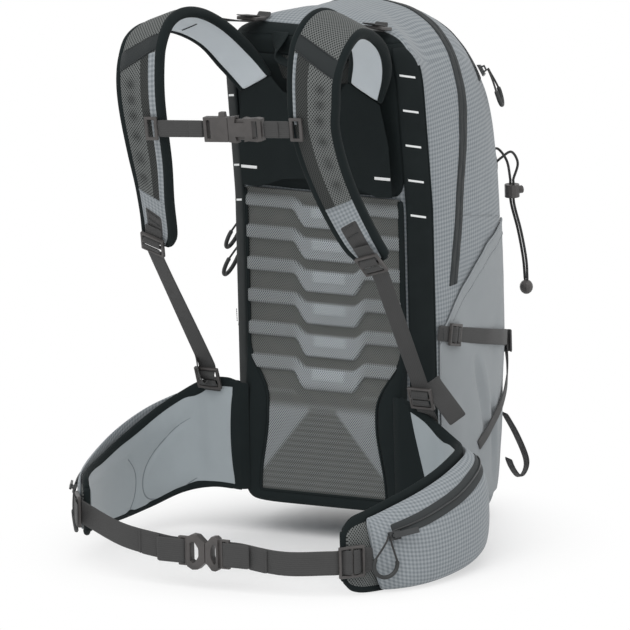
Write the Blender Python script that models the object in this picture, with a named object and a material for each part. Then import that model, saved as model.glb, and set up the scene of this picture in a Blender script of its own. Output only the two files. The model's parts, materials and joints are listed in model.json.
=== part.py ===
"""Light panel-loading backpack of about 22 litres, standing on its base.

Metres, +Z up. The harness side faces -Y and the front flap faces +Y. The origin is the centre
of the flat base. Every height is measured from the ground, and every depth from the back line,
the line that the lumbar pad stands on.
"""

from math import atan2, cos, pi, sin, sqrt

import bmesh
import bpy
from mathutils import Matrix, Vector

# Driving dimensions: bag
BACK_LINE = -0.176        # place of the back line along Y
TOP_Z = 0.533
BODY_HALF_WIDTH = 0.115
BODY_DEPTH = 0.252        # fullest front, from the back line
WALL = 0.003
FIT = 0.0003              # gap between touching pieces
BACK_WALL_DEPTH = 0.014   # back wall of the bag, behind the foam
BACK_HALF_WIDTH = 0.092   # flat middle of the back wall
STRIP_RUN = 0.020         # slanted corner beside it, across
STRIP_DEPTH = 0.017       # and in depth
LEAN_Z = 0.340            # above this the back leans towards the wearer
LEAN = 0.10
BASE_ROUND = 0.020
BASE_FLAT_DEPTH = 0.160   # behind this the base slopes up to the lumbar pad
BASE_RISE = 0.031
BASE_TAPER = 0.040        # how much shallower the bag is at its base
SHOULDER_Z = 0.380        # above this the sides draw in
CORNER_Z = 0.450          # above this the back corners round off
FRONT_ROUND_Z = 0.280     # above this the front rounds over
CROWN_DEPTH = 0.085       # the top of the bag lies here
CROWN_Z = 0.500           # above this the back curves forward to it
BASE_BLEND_Z = 0.150
SIDE_STEPS = 7
HANDLE_Z = TOP_Z - 0.018  # where the grab handle is sewn on
SIDE_DEPTH = 0.060        # widest line of the side

# Zips and flap
ZIP_END_Z = 0.257
ZIP_END_DEPTH = 0.066
ZIP_SLOPE = 0.205
ZIP_HALF = 0.0048
FLAP_HINGE_Z = 0.288
FLAP_CORNER_Z = 0.325     # the flap starts here at the sides, so that it swings clear
FRONT_ZIP_DEPTH = 0.168
FRONT_ZIP_END_Z = 0.445
SLIDER_LENGTH = 0.013
SLIDER_WIDTH = 0.009
PULL_CORD = 0.0022
PULL_LENGTH = 0.040
HIP_TAB = {1: 0.024, -1: 0.013}  # the left tab is short, so that it stays on its pocket

# Frame
STAY_HALF = 0.060
STAY_BOTTOM_Z = 0.060
STAY_BEND_Z = 0.450

# Back panel
FOAM_TOP_Z = 0.352
PANEL_BOTTOM_Z = 0.033
FOAM_BOTTOM_Z = 0.046
LUMBAR_RISE = 0.018       # foam thickness at the lumbar
FOAM_THICKNESS = 0.0062   # and above it
RIDGE_PITCH = 0.0328
RIDGE_HEIGHT = 0.0026
RIDGE_FIRST_Z = 0.3397    # crest of the highest ridge, beside the spine
RIDGE_DROP = 0.0130       # how far the ridges step down in the middle
RIDGE_MIDDLE = 0.006      # middle of the stepped part
RIDGE_STEP = (0.026, 0.042)  # where the step is, from that middle
PANEL_COLUMNS = 22
MESH_THICKNESS = 0.0009
STRIP_THICKNESS = 0.0022
STRIP_BOTTOM_Z = 0.062
STRIP_TOP_Z = 0.509

# Harness
YOKE_GAP = 0.010          # back of the yoke, in front of the back wall
YOKE_THICKNESS = 0.004
YOKE_BOTTOM_Z = 0.354
YOKE_DIP_Z = 0.450        # its neckline between the straps
YOKE_SHOULDER = [(0.0795, 0.452), (0.044, 0.472)]  # where each strap is sewn on
YOKE_HALF_WIDTH = 0.086
STRAP_THICKNESS = 0.012
HARNESS_TILT = 0.006      # the right strap hangs this much higher, the left this much lower
RIGHT_SWAY = 0.0145       # how far the lower end of the right strap hangs outwards
TORSO_WEB = 0.020
LIFTER_WEB = 0.0155
LIFTER_Z = 0.524          # where the load lifters meet the bag
WEB = 0.0014
STERNUM_WEB = 0.0175
STERNUM_Z = 0.454
STERNUM_REST = -0.1762    # middle of the straps where the sternum strap rides
STERNUM_HALF_SPAN = 0.083
STERNUM_SLIDER = 0.0035

# Hip belt
BELT_WEB = 0.025
WING_THICKNESS = 0.009
POCKET_BULGE = {1: 0.025, -1: 0.0092}  # the right pocket is full, the left one nearly empty
BUCKLE_X = 0.005
BUCKLE_Z = 0.0385
BELT_DEPTH = -0.252

COLOURS = {
    "grid_fabric": (0.26, 0.28, 0.29, 0.0, 0.85),
    "plain_fabric": (0.28, 0.30, 0.31, 0.0, 0.8),
    "dark_fabric": (0.022, 0.027, 0.028, 0.0, 0.85),
    "mesh": (0.10, 0.105, 0.10, 0.0, 0.9),
    "foam": (0.22, 0.23, 0.23, 0.0, 0.9),
    "webbing": (0.055, 0.055, 0.055, 0.0, 0.75),
    "acetal": (0.07, 0.066, 0.066, 0.0, 0.45),
    "cord": (0.05, 0.05, 0.05, 0.0, 0.7),
    "sheet": (0.6, 0.6, 0.58, 0.0, 0.5),
    "alloy": (0.6, 0.6, 0.62, 1.0, 0.35),
    "zip_tape": (0.045, 0.048, 0.048, 0.0, 0.8),
}


def finish(name):
    """One Principled material for a piece, made on first use."""
    found = bpy.data.materials.get(name)
    if found:
        return found
    red, green, blue, metallic, roughness = COLOURS[name]
    made = bpy.data.materials.new(name)
    made.use_nodes = True
    shader = made.node_tree.nodes["Principled BSDF"]
    shader.inputs["Base Color"].default_value = (red, green, blue, 1)
    shader.inputs["Metallic"].default_value = metallic
    shader.inputs["Roughness"].default_value = roughness
    made.diffuse_color = (red, green, blue, 1)
    return made


def add(name, bm, material):
    """Turn a bmesh into a named object with outward faces."""
    bmesh.ops.remove_doubles(bm, verts=bm.verts, dist=0.000002)
    bmesh.ops.recalc_face_normals(bm, faces=bm.faces)
    mesh = bpy.data.meshes.new(name)
    bm.to_mesh(mesh)
    bm.free()
    made = bpy.data.objects.new(name, mesh)
    bpy.context.scene.collection.objects.link(made)
    if material:
        mesh.materials.append(finish(material))
        mesh.shade_smooth()
        mesh.set_sharp_from_angle(angle=0.6)
    return made


def guide(name, bm):
    """A cutter: built like any piece, but never kept."""
    made = add(name, bm, None)
    made.hide_render = True
    made.display_type = "WIRE"
    return made


def boolean(target, tool, operation):
    change = target.modifiers.new(operation.lower(), "BOOLEAN")
    change.object = tool
    change.operation = operation
    change.solver = "EXACT"


def soften(target, width, segments=1):
    change = target.modifiers.new("edge", "BEVEL")
    change.width = width
    change.segments = segments
    change.limit_method = "ANGLE"
    change.angle_limit = 0.7


def skin(bm, rings):
    """Join rings of equal length with faces and close both ends."""
    made = [[bm.verts.new(point) for point in ring] for ring in rings]
    count = len(made[0])
    for low, high in zip(made, made[1:]):
        for i in range(count):
            j = (i + 1) % count
            bm.faces.new((low[i], low[j], high[j], high[i]))
    bm.faces.new(made[0][::-1])
    bm.faces.new(made[-1])


def prism(outline, low, high, axis="X"):
    """Extrude a closed outline between two places along X, Y or Z."""
    place = {
        "X": lambda a, b, t: (t, a, b),
        "Y": lambda a, b, t: (a, t, b),
        "Z": lambda a, b, t: (a, b, t),
    }[axis]
    bm = bmesh.new()
    skin(bm, [[place(a, b, t) for a, b in outline] for t in (low, high)])
    return bm


def plate(bm, columns, rows, holes, depth):
    """A flat plate in X and Z with the cells in holes left open, as thick as depth."""
    grid = [[bm.verts.new((x, -depth / 2, z)) for x in columns] for z in rows]
    faces = [
        bm.faces.new((grid[r][c], grid[r][c + 1], grid[r + 1][c + 1], grid[r + 1][c]))
        for r in range(len(rows) - 1)
        for c in range(len(columns) - 1)
        if (c, r) not in holes
    ]
    raised = bmesh.ops.extrude_face_region(bm, geom=faces)["geom"]
    moved = [item for item in raised if isinstance(item, bmesh.types.BMVert)]
    bmesh.ops.translate(bm, verts=moved, vec=(0, depth, 0))


def copy_into(bm, source, matrix):
    """Add a moved copy of one bmesh to another."""
    mesh = bpy.data.meshes.new("copy")
    source.to_mesh(mesh)
    mesh.transform(matrix)
    bm.from_mesh(mesh)
    bpy.data.meshes.remove(mesh)


def fair(points, steps):
    """A smooth curve through the points, with steps spans between each two."""
    points = [Vector(p) for p in points]
    ends = [2 * points[0] - points[1], *points, 2 * points[-1] - points[-2]]
    found = []
    for before, start, end, after in zip(ends, ends[1:], ends[2:], ends[3:]):
        for step in range(steps):
            t = step / steps
            bend = 2 * start - 2 * end + (end - before) / 2 + (after - start) / 2
            lift = -3 * start + 3 * end - (end - before) - (after - start) / 2
            found.append(start + (end - before) / 2 * t + lift * t * t + bend * t**3)
    found.append(points[-1])
    return found


def fall(share, power):
    """1 at a share of 0, easing down to 0 at a share of 1 along a superellipse."""
    share = min(max(share, 0.0), 1.0)
    return (1 - share**power) ** (1 / power)


# --- Bag surface -------------------------------------------------------------------------


def back_depth(z):
    """Outside of the bag's back wall, from the back line."""
    return BACK_WALL_DEPTH - LEAN * max(0.0, z - LEAN_Z)


def back_corner(z):
    """Both ends of the slanted strip that joins the back wall to the side."""
    corner = fall((z - CORNER_Z) / (TOP_Z - CORNER_Z), 3.5)
    crown = fall((z - CROWN_Z) / (TOP_Z - CROWN_Z), 2.5)
    back = CROWN_DEPTH - (CROWN_DEPTH - back_depth(z)) * crown
    inner = Vector((BACK_HALF_WIDTH * corner, back))
    return inner, inner + Vector((STRIP_RUN, STRIP_DEPTH)) * corner


def bag_ring(z, inset=0.0):
    """Half of one section of the bag's outside, from back to front, drawn in by inset."""
    below = max(0.0, BASE_ROUND - z)
    drawn = inset + BASE_ROUND - sqrt(max(0.0, BASE_ROUND**2 - below**2))
    side = BODY_HALF_WIDTH * fall((z - SHOULDER_Z) / (TOP_Z - SHOULDER_Z), 2.45)
    reach = BODY_DEPTH - CROWN_DEPTH
    front = CROWN_DEPTH + reach * fall((z - FRONT_ROUND_Z) / (TOP_Z - FRONT_ROUND_Z), 2.2)
    front -= BASE_TAPER * max(0.0, 1 - z / FRONT_ROUND_Z) ** 2
    inner, outer = back_corner(z)
    widest = max(SIDE_DEPTH, outer.y + 0.002)
    half = [Vector((0, inner.y)), Vector((inner.x / 2, inner.y)), inner, outer]
    half.append((outer + Vector((side, widest))) / 2)
    for step in range(SIDE_STEPS + 1):
        angle = pi / 2 * step / SIDE_STEPS
        round_x, round_y = max(cos(angle), 0.0) ** (2 / 2.8), sin(angle) ** (2 / 2.8)
        half.append(Vector((side * round_x, widest + (front - widest) * round_y)))
    centre = (inner.y + front) / 2
    narrow = max(0.0, 1 - drawn / max(side, 0.001))
    shallow = max(0.0, 1 - drawn / max((front - inner.y) / 2, 0.001))
    level = z if not inset else inset + z * (TOP_Z - 2 * inset) / TOP_Z
    ring = []
    for place in half:
        depth = centre + (place.y - centre) * shallow
        slope = min(max((BASE_FLAT_DEPTH - depth) / (BASE_FLAT_DEPTH - BACK_WALL_DEPTH), 0.0), 1.0)
        lift = BASE_RISE * slope * max(0.0, 1 - level / BASE_BLEND_Z)
        ring.append((place.x * narrow, BACK_LINE + depth, level + lift))
    return ring


BAG_LEVELS = (
    [0.0, 0.004, 0.011, BASE_ROUND, 0.045, 0.075]
    + [0.110 + (LEAN_Z - 0.110) * i / 5 for i in range(6)]
    + [0.375, 0.405, 0.432, 0.455, 0.475, 0.492, 0.505, 0.515, 0.523, 0.529, 0.532]
)


def bag(inset=0.0):
    """The whole bag as one closed form: level rings, with the base and top closed in strips."""
    bm = bmesh.new()
    rows = []
    for z in BAG_LEVELS:
        half = bag_ring(z, inset)
        right = [bm.verts.new(point) for point in half]
        left = [bm.verts.new((-x, y, level)) for x, y, level in half[1:-1]]
        rows.append((right, [right[0], *left, right[-1]]))
    count = len(rows[0][0])
    for low, high in zip(rows, rows[1:]):
        for side in (0, 1):
            for i in range(count - 1):
                a, b = low[side], high[side]
                bm.faces.new((a[i], a[i + 1], b[i + 1], b[i]))
    for right, left in (rows[0], rows[-1]):
        bm.faces.new([*right[:4], *left[3:0:-1]])
        for i in range(3, count - 1):
            corners = [right[i], right[i + 1], left[i + 1], left[i]]
            bm.faces.new(list(dict.fromkeys(corners)))
    return bm


def zip_depth(z):
    return ZIP_END_DEPTH + ZIP_SLOPE * (z - ZIP_END_Z)


def flap_outline(shift):
    """Side outline of everything in front of the main zip, moved forward and up by shift."""
    far, corner = BODY_DEPTH + 0.06, zip_depth(FLAP_CORNER_Z)
    fold = (FLAP_HINGE_Z - FLAP_CORNER_Z) / (BODY_DEPTH - corner)
    points = [
        (corner, FLAP_CORNER_Z),
        (far, FLAP_CORNER_Z + fold * (far - corner)),
        (far, TOP_Z + 0.03),
        (zip_depth(TOP_Z + 0.03), TOP_Z + 0.03),
    ]
    return [(BACK_LINE + y + shift, z + shift) for y, z in points]


def patch(name, outline, low, high, material, span=(-0.3, 0.3)):
    """A piece of fabric on the bag: the skin between two offsets, inside a side outline."""
    made = add(name, bag(-high), material) if material else guide(name, bag(-high))
    boolean(made, guide(name + "_inner", bag(-low)), "DIFFERENCE")
    region = [(BACK_LINE + y, z) for y, z in outline]
    boolean(made, guide(name + "_region", prism(region, *span)), "INTERSECT")
    return made


def build_bag():
    whole = 0.3
    inner = guide("bag_inner", bag(WALL))
    body = add("main_body", bag(), "grid_fabric")
    boolean(body, inner, "DIFFERENCE")
    boolean(body, guide("flap_cut", prism(flap_outline(0.0), -whole, whole)), "DIFFERENCE")
    flap = add("front_flap", bag(), "grid_fabric")
    boolean(flap, inner, "DIFFERENCE")
    boolean(flap, guide("flap_keep", prism(flap_outline(2 * FIT), -whole, whole)), "INTERSECT")

    top = TOP_Z + 0.02
    start, corner = ZIP_END_Z + 3 * FIT, FLAP_CORNER_Z - 0.002
    body_band = [
        (zip_depth(start) - ZIP_HALF, start), (zip_depth(start) + ZIP_HALF, start),
        (zip_depth(corner) + ZIP_HALF, corner), (zip_depth(corner) - FIT, corner),
        (zip_depth(top) - FIT, top), (zip_depth(top) - ZIP_HALF, top),
    ]
    start = FLAP_CORNER_Z + 3 * FIT
    flap_band = [
        (zip_depth(start) + 3 * FIT, start), (zip_depth(start) + ZIP_HALF, start),
        (zip_depth(top) + ZIP_HALF, top), (zip_depth(top) + 3 * FIT, top),
    ]
    for half, name, band in ((body, "body_tape", body_band), (flap, "flap_tape", flap_band)):
        boolean(half, patch(name, band, -WALL / 2, 0.0009, None), "UNION")
    near, far = FRONT_ZIP_DEPTH - ZIP_HALF, FRONT_ZIP_DEPTH + ZIP_HALF
    band = [(near, FRONT_ZIP_END_Z), (far, FRONT_ZIP_END_Z), (far, top), (near, top)]
    patch("front_pocket_zip", band, FIT, FIT + 0.0009, "zip_tape")


def build_side_pockets():
    front, drop = BODY_DEPTH - 0.053, 0.040
    top = [(0.044, 0.217), (0.083, 0.251), (0.140, 0.284), (front + 0.007, 0.297)]
    rim = [(0.046, 0.026), *top, (front + 0.007, 0.026)]
    half = 0.008
    strap = [
        (0.034, 0.214 - half), (0.034, 0.214 + half), (front + 0.012, 0.176 + half),
        (front + 0.014, 0.168 - half), (0.105, 0.082), (0.096, 0.094), (front - 0.012, 0.178 - half),
    ]
    for side, span in (("left", (-0.3, -drop)), ("right", (drop, 0.3))):
        patch("side_pocket_" + side, rim, FIT, 0.0020, "plain_fabric", span)
        patch("compression_strap_" + side, strap, 0.0020 + FIT, 0.0020 + FIT + WEB, "webbing", span)


def build_frame():
    """The plastic sheet and the bent stay that stiffen the back."""
    inside = lambda z: BACK_LINE + back_depth(z) + WALL
    levels = [0.050, 0.150, 0.250, LEAN_Z, 0.420, 0.490]
    back, thick, half = 0.0006, 0.0016, 0.082
    bm = bmesh.new()
    rings = []
    for z in levels:
        y = inside(z) + back
        rings.append([(-half, y, z), (half, y, z), (half, y + thick, z), (-half, y + thick, z)])
    skin(bm, rings)
    add("frame_sheet", bm, "sheet")
    stay = 0.004
    offset = back + thick + FIT + stay / 2
    legs = [(STAY_HALF, z) for z in (STAY_BOTTOM_Z, 0.200, LEAN_Z, 0.400, STAY_BEND_Z)]
    bends = (pi / 6, pi / 3, pi / 2)
    crown = [(STAY_HALF * cos(a), STAY_BEND_Z + STAY_HALF / 2 * sin(a)) for a in bends]
    right = legs + crown
    path = right + [(-x, z) for x, z in right[-2::-1]]
    tube("frame_stay", [(x, inside(z) + offset, z) for x, z in path], stay, "alloy")


def tube(name, points, diameter, material, sides=2):
    """A rod or cord along the points, with closed ends."""
    curve = bpy.data.curves.new(name, "CURVE")
    curve.dimensions = "3D"
    curve.bevel_depth = diameter / 2
    curve.bevel_resolution = sides
    curve.use_fill_caps = True
    curve.render_resolution_u = 0
    spline = curve.splines.new("POLY")
    spline.points.add(len(points) - 1)
    for point, place in zip(spline.points, points):
        point.co = (*place, 1)
    curve.materials.append(finish(material))
    made = bpy.data.objects.new(name, curve)
    made.modifiers.new("flat_faces", "TRIANGULATE")
    bpy.context.scene.collection.objects.link(made)
    return made


# --- Back panel --------------------------------------------------------------------------


def ease(value, low, high):
    share = min(max((value - low) / (high - low), 0.0), 1.0)
    return share * share * (3 - 2 * share)


def panel_front(z):
    """Front of the plain foam, from the back line: full at the lumbar and thin above it."""
    thick = LUMBAR_RISE + (FOAM_THICKNESS - LUMBAR_RISE) * ease(z, 0.120, 0.215)
    return back_depth(z) - thick


def ridge(x, z):
    """Height of the wavy cross ridges that leave air channels between them."""
    stepped = 1 - ease(abs(x - RIDGE_MIDDLE), *RIDGE_STEP)
    wave = (z - RIDGE_FIRST_Z + RIDGE_DROP * stepped) / RIDGE_PITCH
    crest = 0.5 + 0.5 * cos(2 * pi * wave)
    fade = ease(z, 0.150, 0.180) * ease(FOAM_TOP_Z - z, 0.0, 0.020)
    return RIDGE_HEIGHT * crest * fade


def mesh_half_width(z):
    """Half width of the mesh: an hourglass over the lumbar, straight above it."""
    waist = 0.062 + 0.010 * ease(0.125 - z, 0.0, 0.075)
    return waist + (0.0875 - waist) * ease(z, 0.140, 0.195)


def cushion(levels, columns, half_width, front, back):
    """A closed pad between two surfaces, as wide as half_width at each level."""
    bm = bmesh.new()
    grids = []
    for surface in (front, back):
        rows = []
        for z in levels:
            half = half_width(z)
            row = [half * (2 * i / columns - 1) for i in range(columns + 1)]
            rows.append([bm.verts.new((x, BACK_LINE + surface(x, z), z)) for x in row])
        grids.append(rows)
    near, far = grids
    for rows in (near, far):
        for low, high in zip(rows, rows[1:]):
            for i in range(columns):
                bm.faces.new((low[i], low[i + 1], high[i + 1], high[i]))
    for a, b in zip(range(len(levels) - 1), range(1, len(levels))):
        for side in (0, -1):
            bm.faces.new((near[a][side], near[b][side], far[b][side], far[a][side]))
    for row in (0, -1):
        for i in range(columns):
            bm.faces.new((near[row][i], near[row][i + 1], far[row][i + 1], far[row][i]))
    return bm


def build_back_panel():
    rows = 48
    levels = [FOAM_BOTTOM_Z + (FOAM_TOP_Z - FOAM_BOTTOM_Z) * i / rows for i in range(rows + 1)]
    lift = MESH_THICKNESS + RIDGE_HEIGHT + FIT
    foam = lambda x, z: panel_front(z) + lift - ridge(x, z)
    seat = lambda x, z: back_depth(z) - FIT
    add("back_foam", cushion(levels, PANEL_COLUMNS, mesh_half_width, foam, seat), "foam")
    near = lambda x, z: foam(x, z) - FIT - MESH_THICKNESS
    far = lambda x, z: foam(x, z) - FIT
    add("back_mesh", cushion(levels, PANEL_COLUMNS, mesh_half_width, near, far), "mesh")

    border_levels = [PANEL_BOTTOM_Z + (FOAM_TOP_Z - PANEL_BOTTOM_Z) * i / 14 for i in range(15)]
    border_front = lambda x, z: panel_front(z) - 0.0005
    half = lambda z: BACK_HALF_WIDTH - 0.0015
    border = add("lumbar_border", cushion(border_levels, 4, half, border_front, seat), "dark_fabric")
    window = [level for level in levels if level >= FOAM_BOTTOM_Z]
    outline = [(mesh_half_width(z) + FIT, z) for z in window]
    outline[0] = (outline[0][0], FOAM_BOTTOM_Z - FIT)
    outline.append((outline[-1][0], FOAM_TOP_Z + 0.02))
    outline += [(-x, z) for x, z in outline[::-1]]
    window = guide("mesh_window", prism(outline, BACK_LINE - 0.05, BACK_LINE + 0.05, "Y"))
    boolean(border, window, "DIFFERENCE")


def build_side_strips():
    """Two ticked strips on the slanted back corners, which the harness slides between."""
    slant = Vector((STRIP_RUN, STRIP_DEPTH)).normalized()
    out = Vector((slant.y, -slant.x))
    levels = [STRIP_BOTTOM_Z] + [z for z in BAG_LEVELS if STRIP_BOTTOM_Z < z < STRIP_TOP_Z] + [STRIP_TOP_Z]
    for name, sign in (("side_strip_left", -1), ("side_strip_right", 1)):
        rings = []
        for z in levels:
            inner, outer = back_corner(z)
            width = 0.55 + 0.45 * fall((z - STRIP_TOP_Z + 0.025) / 0.025, 2)
            middle, half = (inner + outer) / 2, (outer - inner) / 2 * width
            ring = []
            for along, lift in ((-1, FIT), (1, FIT), (1, STRIP_THICKNESS), (-1, STRIP_THICKNESS)):
                spot = middle + half * along + out * lift
                ring.append((sign * spot.x, BACK_LINE + spot.y, z))
            rings.append(ring)
        bm = bmesh.new()
        skin(bm, rings)
        add(name, bm, "dark_fabric")


# --- Straps and webbing ------------------------------------------------------------------


def ribbon(bm, left, right, thickness, rounding=0.0, root=1.0):
    """A flat strap between two edge lines, its thickness centred on them and thinner at its root."""
    rings = []
    count = len(left)
    for i in range(count):
        a, b = Vector(left[i]), Vector(right[i])
        ahead = (Vector(left[min(i + 1, count - 1)]) + Vector(right[min(i + 1, count - 1)])) / 2
        behind = (Vector(left[max(i - 1, 0)]) + Vector(right[max(i - 1, 0)])) / 2
        along = (ahead - behind).normalized()
        across = (b - a).normalized()
        up = across.cross(along).normalized() * thickness / 2
        up *= min(1.0, root + (1 - root) * i / 3)
        pull = across * rounding
        if rounding:
            low, high = up * 0.45, up
            ring = [a - low, a + low, a + pull + high, b - pull + high]
            rings.append(ring + [b + low, b - low, b - pull - high, a + pull - high])
        else:
            rings.append([a - up, a + up, b + up, b - up])
    skin(bm, rings)


def web(name, centres, across, width, thickness=WEB, material="webbing"):
    """A webbing along centre points, with its width along one direction."""
    half = Vector(across).normalized() * width / 2
    bm = bmesh.new()
    ribbon(bm, [Vector(c) - half for c in centres], [Vector(c) + half for c in centres], thickness)
    return add(name, bm, material)


def at(x, depth, z):
    """A place from its depth behind the back line."""
    return Vector((x, BACK_LINE + depth, z))


STRAP_INNER = [
    (0.0443, -0.0113, 0.4727), (0.058, -0.027, 0.503), (0.068, -0.058, 0.533), (0.074, -0.092, 0.553),
    (0.076, -0.125, 0.561), (0.0755, -0.153, 0.556), (0.074, -0.172, 0.538), (0.0735, -0.178, 0.515),
    (0.0733, -0.179, 0.485), (0.0733, -0.1745, 0.453), (0.0756, -0.164, 0.413), (0.0835, -0.149, 0.370),
    (0.0925, -0.129, 0.331), (0.103, -0.118, 0.3155),
]
STRAP_OUTER = [
    (0.0798, -0.0093, 0.4527), (0.097, -0.023, 0.484), (0.107, -0.045, 0.511), (0.116, -0.083, 0.532),
    (0.124, -0.122, 0.541), (0.1275, -0.150, 0.534), (0.1265, -0.166, 0.517), (0.1255, -0.1725, 0.500),
    (0.1245, -0.173, 0.480), (0.122, -0.171, 0.455), (0.1205, -0.161, 0.419), (0.1215, -0.147, 0.386),
    (0.126, -0.131, 0.352), (0.131, -0.1185, 0.3245),
]


def strap_edge(points, sign, steps):
    """One strap edge, from the yoke to the tip, tilted a little to its side."""
    placed = []
    for i, (x, depth, z) in enumerate(points):
        tilt = sign * HARNESS_TILT * min(1.0, i / 4, (len(points) - 1 - i) / 3)
        sway = RIGHT_SWAY * min(max((i - 9) / 4, 0.0), 1.0) if sign > 0 else 0.0
        placed.append(at(sign * x + sway, depth, z + tilt))
    return fair(placed, steps)


def yoke_depth(z):
    """Front of the yoke: it lies in one slanted plane, so that it slides in it."""
    return BACK_WALL_DEPTH - LEAN * (z - LEAN_Z) - YOKE_GAP - YOKE_THICKNESS


def build_yoke():
    lower = [(0.0, 0.014), (0.040, 0.011), (0.068, 0.0), (YOKE_HALF_WIDTH, 0.002)]
    outline = [(x, YOKE_BOTTOM_Z + rise) for x, rise in lower]
    outline += [(YOKE_HALF_WIDTH, 0.410), *YOKE_SHOULDER, (0.031, YOKE_DIP_Z + 0.007), (0.0, YOKE_DIP_Z)]
    outline += [(-x, z) for x, z in outline[-2:0:-1]]
    bm = bmesh.new()
    skin(bm, [[at(x, yoke_depth(z) + lift, z) for x, z in outline] for lift in (0.0, YOKE_THICKNESS)])
    soften(add("harness_yoke", bm, "dark_fabric"), 0.0008)


def build_shoulder_straps():
    for name, sign in (("shoulder_strap_left", -1), ("shoulder_strap_right", 1)):
        bm = bmesh.new()
        inner, outer = strap_edge(STRAP_INNER, sign, 2), strap_edge(STRAP_OUTER, sign, 2)
        ribbon(bm, inner, outer, STRAP_THICKNESS, 0.005, YOKE_THICKNESS / STRAP_THICKNESS)
        add(name, bm, "dark_fabric")


def ladder_lock(width, height, depth):
    """A moulded frame with a middle bar: two slots for a webbing of the given width."""
    rail, bar = 0.003, LOCK_BAR
    half = width / 2
    columns = [-half - rail, -half, half, half + rail]
    rows = [-height / 2, -height / 2 + bar, -bar / 2, bar / 2, height / 2 - bar, height / 2]
    bm = bmesh.new()
    plate(bm, columns, rows, {(1, 1), (1, 3)}, depth)
    return bm


def lock(name, size, frame, edge=0.0007):
    """A ladder lock placed by a matrix."""
    made = add(name, ladder_lock(*size), "acetal")
    made.matrix_world = frame
    soften(made, edge)


def frame_of(place, across, down):
    """A matrix that puts local X along across and local -Z along down."""
    x = Vector(across).normalized()
    z = -(Vector(down) - x * x.dot(Vector(down))).normalized()
    y = z.cross(x)
    matrix = Matrix((x, y, z)).transposed().to_4x4()
    matrix.translation = Vector(place)
    return matrix


def turn(frame, bar, stand_off, sense, front=1):
    """A webbing's U-turn round a lock's middle bar, from its front to its back."""
    angles = [pi * step / 5 for step in range(6)]
    around = [(-front * stand_off * cos(a), sense * (bar / 2 + stand_off * sin(a))) for a in angles]
    return [frame @ Vector((0, y, z)) for y, z in around]


LOCK_HEIGHT = 0.024
ANCHOR_LOCK = (0.1225, -0.0175, 0.1580)
LOCK_BAR = 0.0026
LOCK_DEPTH = 0.0036
STAND_OFF = LOCK_DEPTH / 2 + WEB / 2 + FIT


def strap_point(sign, index):
    """The middle of a strap at one station, its way across and its outward way."""
    inner, outer = strap_edge(STRAP_INNER, sign, 2), strap_edge(STRAP_OUTER, sign, 2)
    across = (outer[index] - inner[index]).normalized()
    along = (outer[index] + inner[index] - outer[index - 1] - inner[index - 1]).normalized()
    out = across.cross(along).normalized()
    return (inner[index] + outer[index]) / 2, across, out if out.z > 0 else -out


def build_lower_webs():
    """The adjusting webbing from each strap's lock down to its anchor above the hip belt."""
    size = (TORSO_WEB + 0.001, LOCK_HEIGHT, LOCK_DEPTH)
    for sign, side in ((-1, "left"), (1, "right")):
        tip, across, _ = strap_point(sign, -1)
        across = across * sign
        low = at(sign * ANCHOR_LOCK[0], ANCHOR_LOCK[1], ANCHOR_LOCK[2])
        upper = frame_of(tip, across, low - tip)
        on_pad = STRAP_THICKNESS / 2 + WEB / 2 + STAND_OFF + 2 * FIT
        upper.translation = upper @ Vector((0, -on_pad, 0.002))
        lower = frame_of(low, (1, 0, 0), (0, 0.35, -1))
        lock("strap_lock_" + side, size, upper)
        lock("anchor_lock_" + side, size, lower)
        tail = [upper @ Vector((0, -STAND_OFF, z)) for z in (-0.030, -0.012)]
        top_part = tail + turn(upper, LOCK_BAR, STAND_OFF, 1) + [upper @ Vector((0, STAND_OFF, -0.014))]
        low_part = [lower @ Vector((0, STAND_OFF, 0.014))] + turn(lower, LOCK_BAR, STAND_OFF, -1)[::-1]
        low_part += [lower @ Vector((0, -STAND_OFF, 0.012)), lower @ Vector((0, -STAND_OFF - 0.001, 0.024))]
        between = [top_part[-1].lerp(low_part[0], share) for share in (0.35, 0.7)]
        centres = top_part + between + low_part
        ways = [upper.col[0].xyz] * len(top_part)
        ways += [upper.col[0].xyz.lerp(lower.col[0].xyz, share) for share in (0.35, 0.7)]
        ways += [lower.col[0].xyz] * len(low_part)
        left = [c - way * TORSO_WEB / 2 for c, way in zip(centres, ways)]
        right = [c + way * TORSO_WEB / 2 for c, way in zip(centres, ways)]
        bm = bmesh.new()
        ribbon(bm, left, right, WEB)
        add("lower_web_" + side, bm, "webbing")


def build_load_lifters():
    """Short webbings that draw the strap tops back to the bag, and their locks at the bag."""
    for sign, side in ((-1, "left"), (1, "right")):
        middle, across, out = strap_point(sign, 5)
        start = middle + out * ((STRAP_THICKNESS + WEB) / 2 + 0.0008)
        inner, outer = back_corner(LIFTER_Z)
        seat = at(sign * inner.x, inner.y, LIFTER_Z)
        run = (seat - start).normalized()
        height = 0.022
        frame = frame_of(seat - run * (height / 2 + 0.0045), (1, 0, 0), run)
        lock("lifter_lock_" + side, (LIFTER_WEB + 0.001, height, LOCK_DEPTH), frame)
        leave = frame @ Vector((0, -STAND_OFF, 0.014))
        line = [start, start.lerp(leave, 0.5), leave] + turn(frame, LOCK_BAR, STAND_OFF, -1)
        line += [frame @ Vector((0, STAND_OFF, 0.012))]
        ways = [across * sign] + [Vector((1, 0, 0))] * (len(line) - 1)
        ways[1] = ways[0].lerp(ways[2], 0.6)
        bm = bmesh.new()
        left = [p - way * LIFTER_WEB / 2 for p, way in zip(line, ways)]
        right = [p + way * LIFTER_WEB / 2 for p, way in zip(line, ways)]
        ribbon(bm, left, right, WEB)
        add("load_lifter_" + side, bm, "webbing")


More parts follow.
